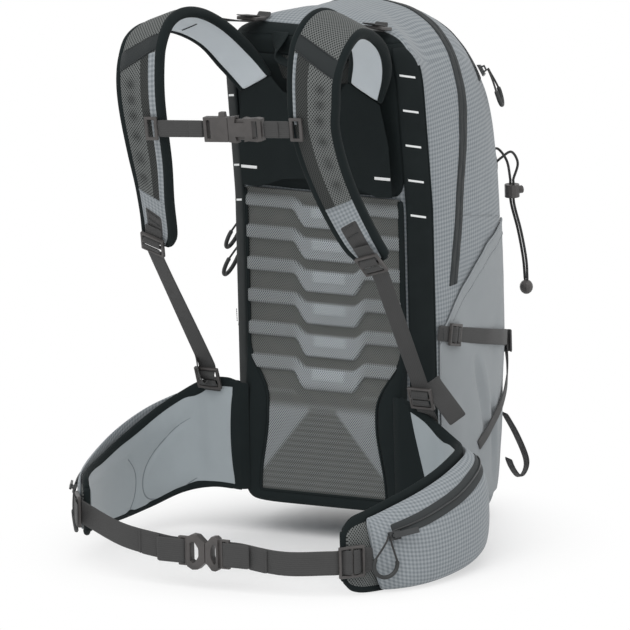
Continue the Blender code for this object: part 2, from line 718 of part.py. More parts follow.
def build_sternum():
    z, y = STERNUM_Z, BACK_LINE + STERNUM_REST - (STRAP_THICKNESS + STERNUM_SLIDER) / 2 - 2 * FIT
    slope = HARNESS_TILT / STERNUM_HALF_SPAN
    height = lambda x: z + slope * x
    turned = Matrix.Rotation(-atan2(HARNESS_TILT, STERNUM_HALF_SPAN), 4, "Y")
    for sign, side in ((-1, "left"), (1, "right")):
        part = bmesh.new()
        half = STERNUM_WEB / 2 + 0.003
        columns, rows = [-0.007, -0.0038, 0.0038, 0.007], [-half, -half + 0.003, half - 0.003, half]
        plate(part, columns, rows, {(1, 1)}, STERNUM_SLIDER)
        x = sign * STERNUM_HALF_SPAN
        made = add("sternum_slider_" + side, part, "acetal")
        made.matrix_world = Matrix.Translation((x, y, height(x))) @ turned
        soften(made, 0.0006)
    half = STERNUM_HALF_SPAN - 0.007 - FIT
    for side, low, high in (("left", -half, -0.0215), ("right", 0.0455, half)):
        line = [(x, y, height(x)) for x in (low, (low + high) / 2, high)]
        web("sternum_web_" + side, line, (-slope, 0, 1), STERNUM_WEB)

    prong_depth, shell = 0.0036, 0.0085
    plug = bmesh.new()
    columns = [-0.021, -0.0175, -0.0135, -0.010, 0.0068]
    rows = [-0.0125, -0.0095, 0.0095, 0.0125]
    plate(plug, columns, rows, {(1, 1)}, shell)
    made = add("sternum_plug", plug, "acetal")
    prongs = bmesh.new()
    for low, high in ((-0.0105, -0.0062), (-0.0018, 0.0018), (0.0062, 0.0105)):
        outline = [(0.004, low), (0.027, low), (0.027, high), (0.004, high)]
        copy_into(prongs, prism(outline, -prong_depth / 2, prong_depth / 2, "Y"), Matrix.Identity(4))
    boolean(made, guide("sternum_prongs", prongs), "UNION")
    outline = [(-0.004, 0.010), (0.004, 0.010), (0.003, 0.0175), (-0.003, 0.0175)]
    boolean(made, guide("whistle_tab", prism(outline, -0.003, 0.003, "Y")), "UNION")
    soften(made, 0.0005)

    socket = bmesh.new()
    outline = [(0.0075, -0.0125), (0.017, -0.0135), (0.030, -0.0112), (0.040, -0.0120), (0.045, -0.0110)]
    outline += [(x, -z) for x, z in outline[::-1]]
    copy_into(socket, prism(outline, -shell / 2, shell / 2, "Y"), Matrix.Identity(4))
    half_socket = add("sternum_socket", socket, "acetal")
    opening = [(0.0, -0.0112), (0.0285, -0.0112), (0.0285, 0.0112), (0.0, 0.0112)]
    chamber = prism(opening, -0.0022, 0.0022, "Y")
    boolean(half_socket, guide("sternum_chamber", chamber), "DIFFERENCE")
    for k, sign in enumerate((-1, 1)):
        outline = [(0.015, sign * 0.007), (0.026, sign * 0.007)]
        outline += [(0.024, sign * 0.016), (0.017, sign * 0.016)]
        boolean(half_socket, guide(f"sternum_window_{k}", prism(outline, -0.01, 0.01, "Y")), "DIFFERENCE")
    slot = prism([(0.0345, -0.009), (0.0405, -0.009), (0.0405, 0.009), (0.0345, 0.009)], -0.01, 0.01, "Y")
    boolean(half_socket, guide("sternum_slot", slot), "DIFFERENCE")
    pieces = ["sternum_plug", "sternum_prongs", "whistle_tab"]
    pieces += ["sternum_socket", "sternum_chamber", "sternum_slot"]
    for name in pieces + ["sternum_window_0", "sternum_window_1"]:
        bpy.data.objects[name].matrix_world = Matrix.Translation((0, y, z)) @ turned


# --- Hip belt ----------------------------------------------------------------------------

WING_PATH = [
    (BACK_HALF_WIDTH - 0.0012, -0.0055), (0.125, -0.0065), (0.157, -0.013), (0.178, -0.042), (0.185, -0.090),
    (0.178, -0.145), (0.162, -0.195), (0.152, -0.214), (0.146, -0.222),
]
WING_EDGES = {  # bottom and top along the path: the right wing rests on the ground, the left is lifted
    1: [(0.043, 0.156), (0.036, 0.137), (0.028, 0.114), (0.014, 0.109), (0.005, 0.104),
        (0.0007, 0.096), (0.0007, 0.084), (0.004, 0.078), (0.013, 0.068)],
    -1: [(0.043, 0.156), (0.044, 0.155), (0.037, 0.141), (0.026, 0.128), (0.022, 0.114),
         (0.027, 0.101), (0.032, 0.095), (0.034, 0.092), (0.041, 0.086)],
}


def wing_stations(sign, steps):
    """Centre, way out, bottom and top of the wing along its length, from the lumbar pad to its tip."""
    plan = fair([(x, y, 0) for x, y in WING_PATH], steps)
    edges = fair([(low, high, 0) for low, high in WING_EDGES[sign]], steps)
    count = len(plan) - 1
    found = []
    for i, (place, edge) in enumerate(zip(plan, edges)):
        ahead = plan[min(i + 1, count)] - plan[max(i - 1, 0)]
        out = Vector((-ahead.y, ahead.x)).normalized()
        found.append((Vector((place.x, place.y)), out, edge.x, edge.y))
    return found


def build_wings():
    for name, sign in (("hip_wing_left", -1), ("hip_wing_right", 1)):
        bm = bmesh.new()
        rings = []
        for place, out, low, high in wing_stations(sign, 3):
            half = WING_THICKNESS / 2
            profile = [(-half * 0.6, low), (half * 0.6, low), (half, low + 0.004), (half, high - 0.004)]
            profile += [(half * 0.6, high), (-half * 0.6, high), (-half, high - 0.004), (-half, low + 0.004)]
            ring = []
            for lift, z in profile:
                spot = place + out * lift
                ring.append((sign * spot.x, BACK_LINE + spot.y, z))
            rings.append(ring)
        skin(bm, rings)
        add(name, bm, "dark_fabric")


def pocket_bulge(sign, share):
    """How far the pocket stands off the wing along its length."""
    return POCKET_BULGE[sign] * (1 - (2 * share - 1) ** 4) + 0.002


def build_hip_pockets():
    for name, sign in (("hip_pocket_left", -1), ("hip_pocket_right", 1)):
        stations = wing_stations(sign, 3)[6:20]
        rings = []
        for i, (place, out, low, high) in enumerate(stations):
            bulge = pocket_bulge(sign, i / (len(stations) - 1))
            base = WING_THICKNESS / 2 + FIT
            top, bottom = high - 0.004, max(low + 0.003, 0.003)
            span = top - bottom
            profile = [(base, bottom), (base, top), (base + bulge * 0.45, top - span * 0.07)]
            profile += [(base + bulge * 0.9, top - span * 0.30), (base + bulge, top - span * 0.60)]
            profile += [(base + bulge * 0.94, bottom + span * 0.12), (base + bulge * 0.7, bottom)]
            ring = []
            for lift, z in profile:
                spot = place + out * lift
                ring.append((sign * spot.x, BACK_LINE + spot.y, z))
            rings.append(ring)
        bm = bmesh.new()
        skin(bm, rings)
        add(name, bm, "grid_fabric")


def hip_surface(sign, share):
    """A place on the pocket's zip line, the way out of it and the way along it."""
    stations = wing_stations(sign, 3)[6:20]
    index = share * (len(stations) - 1)
    i = min(int(index), len(stations) - 2)
    part = index - i
    spots = []
    for place, out, low, high in stations[i:i + 2]:
        k = (stations.index((place, out, low, high))) / (len(stations) - 1)
        base = WING_THICKNESS / 2 + FIT
        top, bottom = high - 0.004, max(low + 0.003, 0.003)
        spot = place + out * (base + pocket_bulge(sign, k) * 0.9)
        spots.append(Vector((sign * spot.x, BACK_LINE + spot.y, top - (top - bottom) * 0.30)))
    out = stations[i][1].lerp(stations[i + 1][1], part)
    out = Vector((sign * out.x, out.y, 0.35)).normalized()
    return spots[0].lerp(spots[1], part), out, (spots[1] - spots[0]).normalized()


def build_belt():
    """Locks on the wing tips, and the webbing from them to the buckle in the middle."""
    y = BACK_LINE + BELT_DEPTH
    reach, bar, shell, neck = 0.0290, 0.0040, 0.010, 0.0042
    stand_off = neck / 2 + WEB / 2 + FIT
    for sign, side, z in ((-1, "left", 0.0620), (1, "right", 0.0360)):
        near_tip, way_out = wing_stations(sign, 3)[-3][:2]
        outward = Vector((sign * way_out.x, way_out.y, 0))
        along = Vector((sign * way_out.y, -way_out.x, 0))
        off_wing = WING_THICKNESS / 2 + WEB / 2 + STAND_OFF + FIT
        place = Vector((sign * near_tip.x, BACK_LINE + near_tip.y, z)) + outward * off_wing
        frame = frame_of(place, (0, 0, 1), along)
        lock("hip_lock_" + side, (BELT_WEB + 0.001, 0.028, LOCK_DEPTH), frame)
        centre = Vector((BUCKLE_X + sign * (reach - bar / 2), y, BUCKLE_Z))
        around = frame_of(centre, (0, 0, 1), (sign, 0, 0))
        tail = [frame @ Vector((0, sign * STAND_OFF, lift)) for lift in (-0.034, -0.014)]
        leave = frame @ Vector((0, -sign * STAND_OFF, -0.016))
        reach_in = around @ Vector((0, sign * stand_off, -0.012))
        bend = fair([leave, (leave + reach_in) / 2 + Vector((0, -0.008, -0.003)), reach_in], 4)
        end = turn(around, bar, stand_off, 1, -sign)
        last = around @ Vector((0, -sign * stand_off, -0.020))
        line = tail + turn(frame, LOCK_BAR, STAND_OFF, 1, -sign) + bend + end + [last]
        web("belt_web_" + side, line, (0, 0, 1), BELT_WEB)

    lift = Matrix.Translation((BUCKLE_X, y, BUCKLE_Z))
    half = shell / 2
    for name, sign in (("hip_buckle_socket", -1), ("hip_buckle_plug", 1)):
        pieces = []
        outer = [(reach, -0.0148), (0.020, -0.0148), (0.013, -0.0180), (0.0058, -0.0150)]
        inner = 0.0052 if sign > 0 else -0.0050
        outline = [(sign * x, z) for x, z in outer] + [(inner, -0.0150)]
        outline += [(x, -z) for x, z in outline[::-1]]
        made = add(name, prism(outline, -half, half, "Y"), "acetal")
        for k, face in enumerate((-1, 1)):
            thin = [(sign * 0.0175, -0.02), (sign * 0.04, -0.02), (sign * 0.04, 0.02), (sign * 0.0175, 0.02)]
            thinned = guide(f"{name}_thin_{k}", prism(thin, face * neck / 2, face * 0.02, "Y"))
            boolean(made, thinned, "DIFFERENCE")
            pieces.append(thinned)
        near, far = sign * 0.0180, sign * 0.0250
        slot = [(near, -0.0128), (far, -0.0128), (far, 0.0128), (near, 0.0128)]
        pieces.append(guide(name + "_slot", prism(slot, -0.02, 0.02, "Y")))
        boolean(made, pieces[-1], "DIFFERENCE")
        if sign < 0:
            chamber = [(-0.0125, -0.0127), (0.006, -0.0127), (0.006, 0.0127), (-0.0125, 0.0127)]
            pieces.append(guide("hip_chamber", prism(chamber, -0.0027, 0.0027, "Y")))
            boolean(made, pieces[-1], "DIFFERENCE")
            for k, face in enumerate((-1, 1)):
                low, high = face * 0.0085, face * 0.020
                window = [(-0.009, low), (0.000, low), (-0.001, high), (-0.008, high)]
                pieces.append(guide(f"hip_window_{k}", prism(window, -0.02, 0.02, "Y")))
                boolean(made, pieces[-1], "DIFFERENCE")
        else:
            prongs = bmesh.new()
            for low, high in ((-0.0118, -0.0070), (-0.0020, 0.0020), (0.0070, 0.0118)):
                outline = [(-0.0110, low), (0.007, low), (0.007, high), (-0.0110, high)]
                copy_into(prongs, prism(outline, -0.0021, 0.0021, "Y"), Matrix.Identity(4))
            pieces.append(guide("hip_prongs", prongs))
            boolean(made, pieces[-1], "UNION")
        soften(made, 0.0006)
        for piece in [made, *pieces]:
            piece.matrix_world = lift


# --- Small pieces ------------------------------------------------------------------------


def slider(name, place, along, out, tab=0.0):
    """A zip slider: a low body with a bridge for its pull, or with a moulded tab."""
    bm = bmesh.new()
    long, wide = SLIDER_LENGTH / 2, SLIDER_WIDTH / 2
    body = prism([(-long, 0.0), (long, 0.0), (long * 0.8, 0.003), (-long * 0.8, 0.003)], -wide, wide)
    copy_into(bm, body, Matrix.Identity(4))
    made = add(name, bm, "acetal")
    bridge = prism([(-0.004, 0.001), (0.004, 0.001), (0.003, 0.0065), (-0.003, 0.0065)], -0.0014, 0.0014)
    tool = guide(name + "_bridge", bridge)
    boolean(made, tool, "UNION")
    if tab:
        outline = [(0.002, 0.0045), (-tab, 0.0045), (-tab, 0.0068), (0.002, 0.0068)]
        hole = guide(name + "_tab", prism(outline, -0.003, 0.003))
        boolean(made, hole, "UNION")
    else:
        eye = [(-0.0018, 0.0034), (0.0018, 0.0034), (0.0018, 0.0050), (-0.0018, 0.0050)]
        hole = guide(name + "_eye", prism(eye, -0.01, 0.01))
        boolean(made, hole, "DIFFERENCE")
    y = Vector(along).normalized()
    z = (Vector(out) - y * y.dot(Vector(out))).normalized()
    x = y.cross(z)
    matrix = Matrix((x, y, z)).transposed().to_4x4()
    matrix.translation = Vector(place)
    for piece in (made, tool, hole):
        piece.matrix_world = matrix
    return matrix


def pull(name, matrix, hang, out, sweep=0.007):
    """A cord loop that hangs from a slider, with its two legs side by side."""
    start = matrix @ Vector((0, 0, 0.0065 + PULL_CORD / 2 + 2 * FIT))
    hang, out = Vector(hang).normalized(), Vector(out).normalized()
    across = hang.cross(out).normalized()
    points = []
    for share, spread in ((0.0, 0.0022), (0.30, 0.7), (0.65, 1.0), (0.88, 0.85), (1.0, 0.35)):
        wide = spread * sweep if share else spread
        points.append((share * PULL_LENGTH, wide))
    legs = points + [(points[-1][0], -points[-1][1])] + [(a, -b) for a, b in points[-2::-1]]
    curve = fair([start + hang * a + across * b for a, b in legs], 4)
    tube(name, curve, PULL_CORD, "cord")


def side_place(z, depth, sign):
    """A place on the bag's side at a depth, found between the points of its level ring."""
    ring = bag_ring(z)[3:]
    y = BACK_LINE + depth
    for a, b in zip(ring, ring[1:]):
        if a[1] <= y <= b[1]:
            share = (y - a[1]) / (b[1] - a[1])
            return Vector((sign * (a[0] + (b[0] - a[0]) * share), y, z))
    raise ValueError("no side there")


def surface_frame(z, depth, sign):
    place = side_place(z, depth, sign)
    ahead = side_place(z, depth + 0.004, sign) - side_place(z, depth - 0.004, sign)
    up = side_place(z + 0.004, depth, sign) - side_place(z - 0.004, depth, sign)
    out = ahead.cross(up).normalized() * sign * -1
    if out.x * sign < 0:
        out = -out
    return place, out


def build_sliders():
    tape = FIT + 0.0009 + FIT
    for name, z in (("upper", 0.316), ("lower", 0.289)):
        place, out = surface_frame(z, zip_depth(z), -1)
        high, _ = surface_frame(z + 0.05, zip_depth(z + 0.05), -1)
        matrix = slider("main_slider_" + name, place + out * tape, high - place, out)
        pull("main_pull_" + name, matrix, (-0.55, -0.05, -0.83), (-0.83, 0, 0.55))
    z = FRONT_ZIP_END_Z + 0.008
    place, out = surface_frame(z, FRONT_ZIP_DEPTH, 1)
    high, _ = surface_frame(z + 0.02, FRONT_ZIP_DEPTH, 1)
    matrix = slider("front_slider", place + out * (tape + 0.0012), high - place, out)
    pull("front_pull", matrix, (0.22, 0.12, -0.95), (0.8, 0.3, 0.3))
    for side, sign in (("left", -1), ("right", 1)):
        place, out, along = hip_surface(sign, 0.86)
        slider("hip_slider_" + side, place + out * FIT, along, out, tab=HIP_TAB[sign])


def build_front_hardware():
    """Bungee tie-off and tool loop on the front, and the compression locks on the sides."""
    place, out = surface_frame(0.343, BODY_DEPTH - 0.017, 1)
    root = place + out * FIT
    web_half = 0.006
    bm = bmesh.new()
    across = Vector((out.y, -out.x, 0)).normalized() * web_half
    run = [(0.020, 0.0012), (0.012, 0.0035), (-0.002, 0.006), (-0.016, 0.0045), (-0.024, 0.0022)]
    spine = [root + Vector((0, 0, z)) + out * lift for z, lift in run]
    ribbon(bm, [p - across for p in spine], [p + across for p in spine], WEB)
    add("bungee_tab", bm, "webbing")

    cord, radius = 0.0028, 0.0075
    barrel = root + out * 0.026 + Vector((0, 0, -0.033))
    turns = [2 * pi * k / 12 for k in range(12)]
    bm = bmesh.new()
    disc = lambda middle, size, z: [middle + Vector((size * cos(a), size * sin(a), z)) for a in turns]
    skin(bm, [disc(barrel, radius, z) for z in (-0.0065, 0.0065)])
    case = add("cord_lock", bm, "acetal")
    sides = Vector((out.y, -out.x, 0)).normalized()
    facing_out = sides.cross(Vector((0, 0, 1))).normalized()
    facing_out *= 1 if facing_out.dot(out) > 0 else -1
    for k, sign in enumerate((-1, 1)):
        bores = bmesh.new()
        axis = barrel + sides * sign * 0.0025
        skin(bores, [disc(axis, 0.0019, z) for z in (-0.02, 0.02)])
        boolean(case, guide(f"cord_bore_{k}", bores), "DIFFERENCE")
    plunger = lambda size, lifts: [
        [barrel + facing_out * lift + sides * size * cos(a) + Vector((0, 0, size * sin(a))) for a in turns]
        for lift in lifts
    ]
    well = bmesh.new()
    skin(well, plunger(0.0044, (0.0029, 0.02)))
    boolean(case, guide("button_well", well), "DIFFERENCE")
    stem = bmesh.new()
    skin(stem, plunger(0.0040, (0.0062, 0.0115)))
    add("cord_lock_button", stem, "acetal")

    ball = barrel + Vector((0.006, 0.014, -0.101))
    bm = bmesh.new()
    bmesh.ops.create_uvsphere(bm, u_segments=12, v_segments=8, radius=0.0068)
    for vert in bm.verts:
        vert.co = Vector((vert.co.x, vert.co.y, vert.co.z * 1.1)) + ball
    add("cord_end", bm, "acetal")
    up = Vector((0, 0, 1))
    leg = [
        ball + sides * 0.0022 + up * 0.0080,
        barrel + sides * 0.0025 + Vector((0.006, 0.012, -0.072)),
        barrel + sides * 0.0025 + Vector((0.004, 0.006, -0.041)),
        barrel + sides * 0.0025 - up * 0.012,
        barrel + sides * 0.0025 + up * 0.008,
        barrel + sides * 0.0027 + up * 0.012,
        root + sides * 0.0080 + out * 0.030 - up * 0.009,
        root + sides * 0.0105 + out * 0.021 + up * 0.006,
        root + sides * 0.0090 + out * 0.0045 + up * 0.003,
        root + out * 0.0028 - up * 0.002,
    ]
    other = [p - 2 * sides * sides.dot(p - barrel) for p in leg[-2::-1]]
    tube("bungee_cord", fair(leg + other, 4), cord, "cord")

    root = side_place(0.098, BODY_DEPTH - 0.056, 1)
    out = Vector((0.58, 0.81, 0)).normalized()
    bm = bmesh.new()
    half = Vector((0.81, -0.58, 0)) * 0.0085
    base = root + out * 0.0062
    spine = [base, base + out * 0.014 + Vector((0, 0, -0.026)), base + out * 0.024 + Vector((0, 0, -0.054))]
    spine += [base + out * 0.016 + Vector((0, 0, -0.068)), base + out * 0.005 + Vector((0, 0, -0.052))]
    spine += [base + out * 0.001 + Vector((0, 0, -0.026))]
    line = fair(spine, 3)[:-2]
    ribbon(bm, [p - half for p in line], [p + half for p in line], 0.0015)
    add("tool_loop", bm, "webbing")

    for sign, side in ((-1, "left"), (1, "right")):
        place, out = surface_frame(0.2080, 0.058, sign)
        place += out * (0.0020 + 2 * FIT + WEB + 0.0020)
        frame = frame_of(place, (0, -0.24, -1), (0, 1, -0.24))
        lock("compression_lock_" + side, (0.0165, 0.022, 0.0032), frame, 0.0005)


def build_handle():
    """The webbing grab loop: sewn flat below the top seam, it twists as it hangs down and out."""
    half_loop = [
        ((0.038, 0.0018, HANDLE_Z), (0.010, 0.0, 0.0)),
        ((0.038, 0.0060, HANDLE_Z - 0.010), (0.0085, -0.005, 0.0)),
        ((0.036, 0.0135, HANDLE_Z - 0.018), (0.004, -0.009, 0.0)),
        ((0.029, 0.0165, HANDLE_Z - 0.025), (0.001, -0.010, 0.0)),
        ((0.014, 0.0180, HANDLE_Z - 0.029), (0.0, -0.010, 0.0)),
        ((0.0, 0.0185, HANDLE_Z - 0.030), (0.0, -0.010, 0.0)),
    ]
    loop = [((-x, lift, z), (-a, b, c)) for (x, lift, z), (a, b, c) in half_loop]
    loop += half_loop[-2::-1]
    centres = fair([at(x, back_corner(z)[0].y - lift, z) for (x, lift, z), half in loop], 2)
    halves = fair([(a if x > 0 else -a, b, c) for (x, lift, z), (a, b, c) in loop], 2)
    bm = bmesh.new()
    left = [p - half for p, half in zip(centres, halves)]
    right = [p + half for p, half in zip(centres, halves)]
    ribbon(bm, left, right, 0.0022)
    add("grab_handle", bm, "webbing")


def hang(name, place, pieces):
    """An empty on a joint's axis that carries the pieces turning round it."""
    axis = bpy.data.objects.new(name, None)
    axis.location = place
    bpy.context.scene.collection.objects.link(axis)
    bpy.context.view_layer.update()
    for piece in pieces:
        carried = bpy.data.objects[piece]
        carried.parent = axis
        carried.matrix_parent_inverse = axis.matrix_world.inverted()


def build_joints():
    """Empties where the moving pieces turn or slide."""
    flap = ["front_flap", "front_pocket_zip", "bungee_tab", "bungee_cord", "cord_lock", "cord_end"]
    hang("flap_hinge", at(0, BODY_DEPTH, FLAP_HINGE_Z), flap)
    inner, outer = back_corner(HANDLE_Z)
    hang("handle_swing", at(0, inner.y, HANDLE_Z), ["grab_handle"])
    harness = ["harness_yoke", "shoulder_strap_left", "shoulder_strap_right"]
    harness += ["strap_lock_left", "strap_lock_right"]
    hang("harness_slide", at(0, yoke_depth(0.410), 0.410), harness)


def main():
    for old in list(bpy.data.objects):
        bpy.data.objects.remove(old)
    build_bag()
    build_side_pockets()
    build_frame()
    build_back_panel()
    build_side_strips()
    build_yoke()
    build_shoulder_straps()
    build_lower_webs()
    build_load_lifters()
    build_sternum()
    build_wings()
    build_hip_pockets()
    build_belt()
    build_sliders()
    build_front_hardware()
    build_handle()
    build_joints()


main()
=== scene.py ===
# %% [markdown]
# # A light panel-loading backpack, dressed around its frame
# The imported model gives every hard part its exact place: buckles, locks, sliders, the plastic
# sheet and the stay. This script adds what fabric looks like on top of it. Each lesson names one
# piece of the real bag, says how it could be made in Blender, and why one way was chosen.
# All lengths are in metres. The wearer's side faces -Y and the front of the bag faces +Y.

# %% Load the frame
import json
from math import copysign, cos, exp, pi, radians, sin

import bmesh
import bpy
from mathutils import Matrix, Vector, noise
from mathutils.bvhtree import BVHTree

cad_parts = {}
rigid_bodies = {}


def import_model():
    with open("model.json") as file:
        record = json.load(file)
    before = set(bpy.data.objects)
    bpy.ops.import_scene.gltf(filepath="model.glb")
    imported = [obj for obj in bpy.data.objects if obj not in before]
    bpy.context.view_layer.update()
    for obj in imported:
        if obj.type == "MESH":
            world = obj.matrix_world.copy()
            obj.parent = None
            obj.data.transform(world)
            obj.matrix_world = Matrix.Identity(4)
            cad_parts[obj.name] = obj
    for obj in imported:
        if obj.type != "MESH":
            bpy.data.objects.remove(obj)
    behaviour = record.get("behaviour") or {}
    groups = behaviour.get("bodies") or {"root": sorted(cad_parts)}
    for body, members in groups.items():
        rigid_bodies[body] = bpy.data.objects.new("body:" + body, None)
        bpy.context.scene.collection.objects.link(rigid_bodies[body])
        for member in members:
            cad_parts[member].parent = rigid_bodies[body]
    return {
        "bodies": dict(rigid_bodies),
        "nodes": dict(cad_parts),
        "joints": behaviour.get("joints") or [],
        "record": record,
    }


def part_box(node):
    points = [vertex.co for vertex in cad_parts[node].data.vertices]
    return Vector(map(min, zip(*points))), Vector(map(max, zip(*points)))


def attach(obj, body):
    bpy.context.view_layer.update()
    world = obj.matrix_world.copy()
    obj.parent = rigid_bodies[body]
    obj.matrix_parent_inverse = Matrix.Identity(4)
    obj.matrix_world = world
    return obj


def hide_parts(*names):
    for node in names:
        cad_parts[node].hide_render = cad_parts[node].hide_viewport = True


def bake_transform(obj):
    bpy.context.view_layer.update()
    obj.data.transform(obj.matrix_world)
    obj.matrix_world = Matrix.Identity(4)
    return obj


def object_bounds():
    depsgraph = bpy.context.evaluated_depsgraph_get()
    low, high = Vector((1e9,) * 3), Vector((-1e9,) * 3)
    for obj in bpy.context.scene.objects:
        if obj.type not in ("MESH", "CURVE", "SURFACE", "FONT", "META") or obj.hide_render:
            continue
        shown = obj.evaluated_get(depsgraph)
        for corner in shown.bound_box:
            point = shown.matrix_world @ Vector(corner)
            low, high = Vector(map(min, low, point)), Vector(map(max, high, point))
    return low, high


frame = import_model()
CAD_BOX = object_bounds()
SIDES = (("left", -1), ("right", 1))
print("frame box", [round(v, 3) for corner in CAD_BOX for v in corner])

# %% [markdown]
# ## Camera
# A product camera stands far away with a long lens, so that parallel edges stay parallel. The bag
# is turned thirty degrees and seen from a little above. A matrix built from the three view
# directions is exact, where a chain of rotations would have to be tuned.

# %% Place the camera
TURN, RISE, ROLL = radians(30), radians(12), 0.0244
FAR, FRAMED, SENSOR = 28.0, 0.630, 36
BACK_LINE, BACK_FOOT_Z = -0.176, 0.033
LEFTWARD, UPWARD = 0.0063, 0.19215
right = Vector((cos(TURN), sin(TURN), 0))
down = Vector((sin(TURN) * sin(RISE), -cos(TURN) * sin(RISE), -cos(RISE)))
view_right = (right + ROLL * down).normalized()
view_down = (down - ROLL * right).normalized()
looking = view_right.cross(view_down)
centre = Vector((0, BACK_LINE, BACK_FOOT_Z)) - LEFTWARD * right - UPWARD * down
camera = bpy.data.objects.new("camera", bpy.data.cameras.new("camera"))
camera.data.sensor_width = SENSOR
camera.data.lens = SENSOR * FAR / FRAMED
camera.data.clip_start, camera.data.clip_end = 1, 100
turned = Matrix((view_right, -view_down, -looking)).transposed().to_4x4()
turned.translation = centre - looking * FAR
camera.matrix_world = turned
bpy.context.scene.collection.objects.link(camera)
bpy.context.scene.camera = camera
print("camera at", [round(v, 2) for v in camera.location])

# %% [markdown]
# ## Cords
# The bag's free cords are the bungee on the front and the loops of the zip pulls. Their sizes are
# settled here, before any surface. The bungee ties an axe shaft or a pole: it is one 2.8 mm
# elastic cord, doubled over its tab, through the lock and down into a moulded end. A pull is a
# 2.2 mm cord loop with its lower bend in a grip that fingers can find.

# %% Sizes of the cords
BUNGEE = 0.0028
PULL_CORD = 0.0022
PULL_LENGTH = 0.040
GRIP_FROM, GRIP_WALL = 0.56, 0.0011
FIT = 0.0003
print("cord diameters", BUNGEE, PULL_CORD)

# %% [markdown]
# ## Shader sums
# Cloth patterns are sums of waves and masks. Written as nodes they become long, so one small
# class lets an expression such as 1 - mask add its own Math nodes, and one method adds any other
# node with its settings and inputs.

# %% Sockets that can be added up
class Socket:
    """A shader value that takes part in Python sums."""

    def __init__(self, look, output):
        self.look, self.output = look, output

    def math(self, operation, *values):
        return self.look.node("Math", {"operation": operation}, dict(enumerate(values)))

    def __add__(self, other):
        return self.math("ADD", self, other)

    def __sub__(self, other):
        return self.math("SUBTRACT", self, other)

    def __rsub__(self, other):
        return self.math("SUBTRACT", other, self)

    def __mul__(self, other):
        return self.math("MULTIPLY", self, other)

    __radd__, __rmul__ = __add__, __mul__

    def fract(self):
        return self.math("FRACT", self)

    def abs(self):
        return self.math("ABSOLUTE", self)

    def wave(self, pitch):
        """A cosine along this value, from -1 to 1, with its crests a pitch apart."""
        return self.math("COSINE", self * (2 * pi / pitch))

    def step(self, low, high):
        """0 below low, 1 above high, and smooth between."""
        settings = {"interpolation_type": "SMOOTHSTEP"}
        values = {"Value": self, "From Min": low, "From Max": high}
        return self.look.node("MapRange", settings, values)


print("shader sums ready")

# %% Colours and materials
def tone(red, green, blue):
    """A colour as the eye reads it, 0 to 255, in the linear values that a shader needs."""
    line = [(v / 255 + 0.055) / 1.055 for v in (red, green, blue)]
    return (*[v**2.4 if v > 0.09 else v * 1.055 / 12.92 for v in line], 1.0)


class Look:
    """A material under construction: one Principled shader and what feeds it."""

    def __init__(self, name, roughness=0.8, sheen=0.0, specular=0.5):
        self.material = bpy.data.materials.new(name)
        self.material.use_nodes = True
        self.tree = self.material.node_tree
        self.shader = self.tree.nodes["Principled BSDF"]
        self.shader.inputs["Roughness"].default_value = roughness
        self.shader.inputs["Sheen Weight"].default_value = sheen
        self.shader.inputs["Specular IOR Level"].default_value = specular

    def node(self, kind, settings=None, values=None, output=0):
        made = self.tree.nodes.new("ShaderNode" + kind)
        for key, value in (settings or {}).items():
            setattr(made, key, value)
        for key, value in (values or {}).items():
            self.feed(made.inputs[key], value)
        return Socket(self, made.outputs[output])

    def feed(self, target, value):
        if isinstance(value, Socket):
            self.tree.links.new(value.output, target)
        else:
            target.default_value = value

    def place(self):
        return self.node("TexCoord", output="Object")

    def cloth(self):
        """The piece's own flat coordinates in metres: across, then along."""
        flat = self.node("UVMap", {"uv_map": "cloth"})
        split = self.tree.nodes.new("ShaderNodeSeparateXYZ")
        self.feed(split.inputs[0], flat)
        return Socket(self, split.outputs[0]), Socket(self, split.outputs[1])

    def noise(self, scale, detail):
        values = {"Vector": self.place(), "Scale": scale, "Detail": detail}
        return self.node("TexNoise", {}, values)

    def mix(self, low, high, share):
        """A colour between two: low where the share is 0, high where it is 1."""
        made = self.tree.nodes.new("ShaderNodeMix")
        made.data_type = "RGBA"
        for index, value in ((0, share), (6, low), (7, high)):
            self.feed(made.inputs[index], value)
        return Socket(self, made.outputs[2])

    def colour(self, value):
        self.feed(self.shader.inputs["Base Color"], value)

    def rough(self, value):
        self.feed(self.shader.inputs["Roughness"], value)

    def bump(self, height, depth, strength):
        values = {"Strength": strength, "Distance": depth, "Height": height}
        self.feed(self.shader.inputs["Normal"], self.node("Bump", {}, values))


print("black is", tone(26, 33, 34)[:3])

# %% [markdown]
# ## Fabrics
# The bag is cut from a ripstop: a plain weave with thicker yarns that draw a small check. The
# check follows the cloth, so it is worked out in the piece's own flat coordinates, which each
# piece gets in metres when it is made. A picture would repeat and blur, and object coordinates
# would smear the check round every corner.

# %% Woven cloths
def weave(u, v, pitch):
    """Over and under of a plain weave, from 0 to 1."""
    return u.wave(pitch) * v.wave(pitch) * 0.5 + 0.5


def check_cloth(name, pale, dark, pitch=0.0043):
    look = Look(name, 0.78, sheen=0.15, specular=0.3)
    u, v = look.cloth()
    bars = [((t * (1 / pitch)).fract() - 0.5).abs().step(0.20, 0.30) for t in (u, v)]
    check = (bars[0] + bars[1]) * 0.5
    fine = weave(u, v, 0.0009)
    uneven = look.noise(60, 4)
    flat = look.mix(tone(*pale), tone(*dark), check * 0.92 + uneven * 0.10)
    look.colour(look.mix(flat, tone(96, 101, 104), fine * 0.14))
    look.rough(0.72 + uneven * 0.12)
    look.bump(fine * 0.5 + check * 0.5 + uneven * 0.6, 0.00025, 0.6)
    return look.material


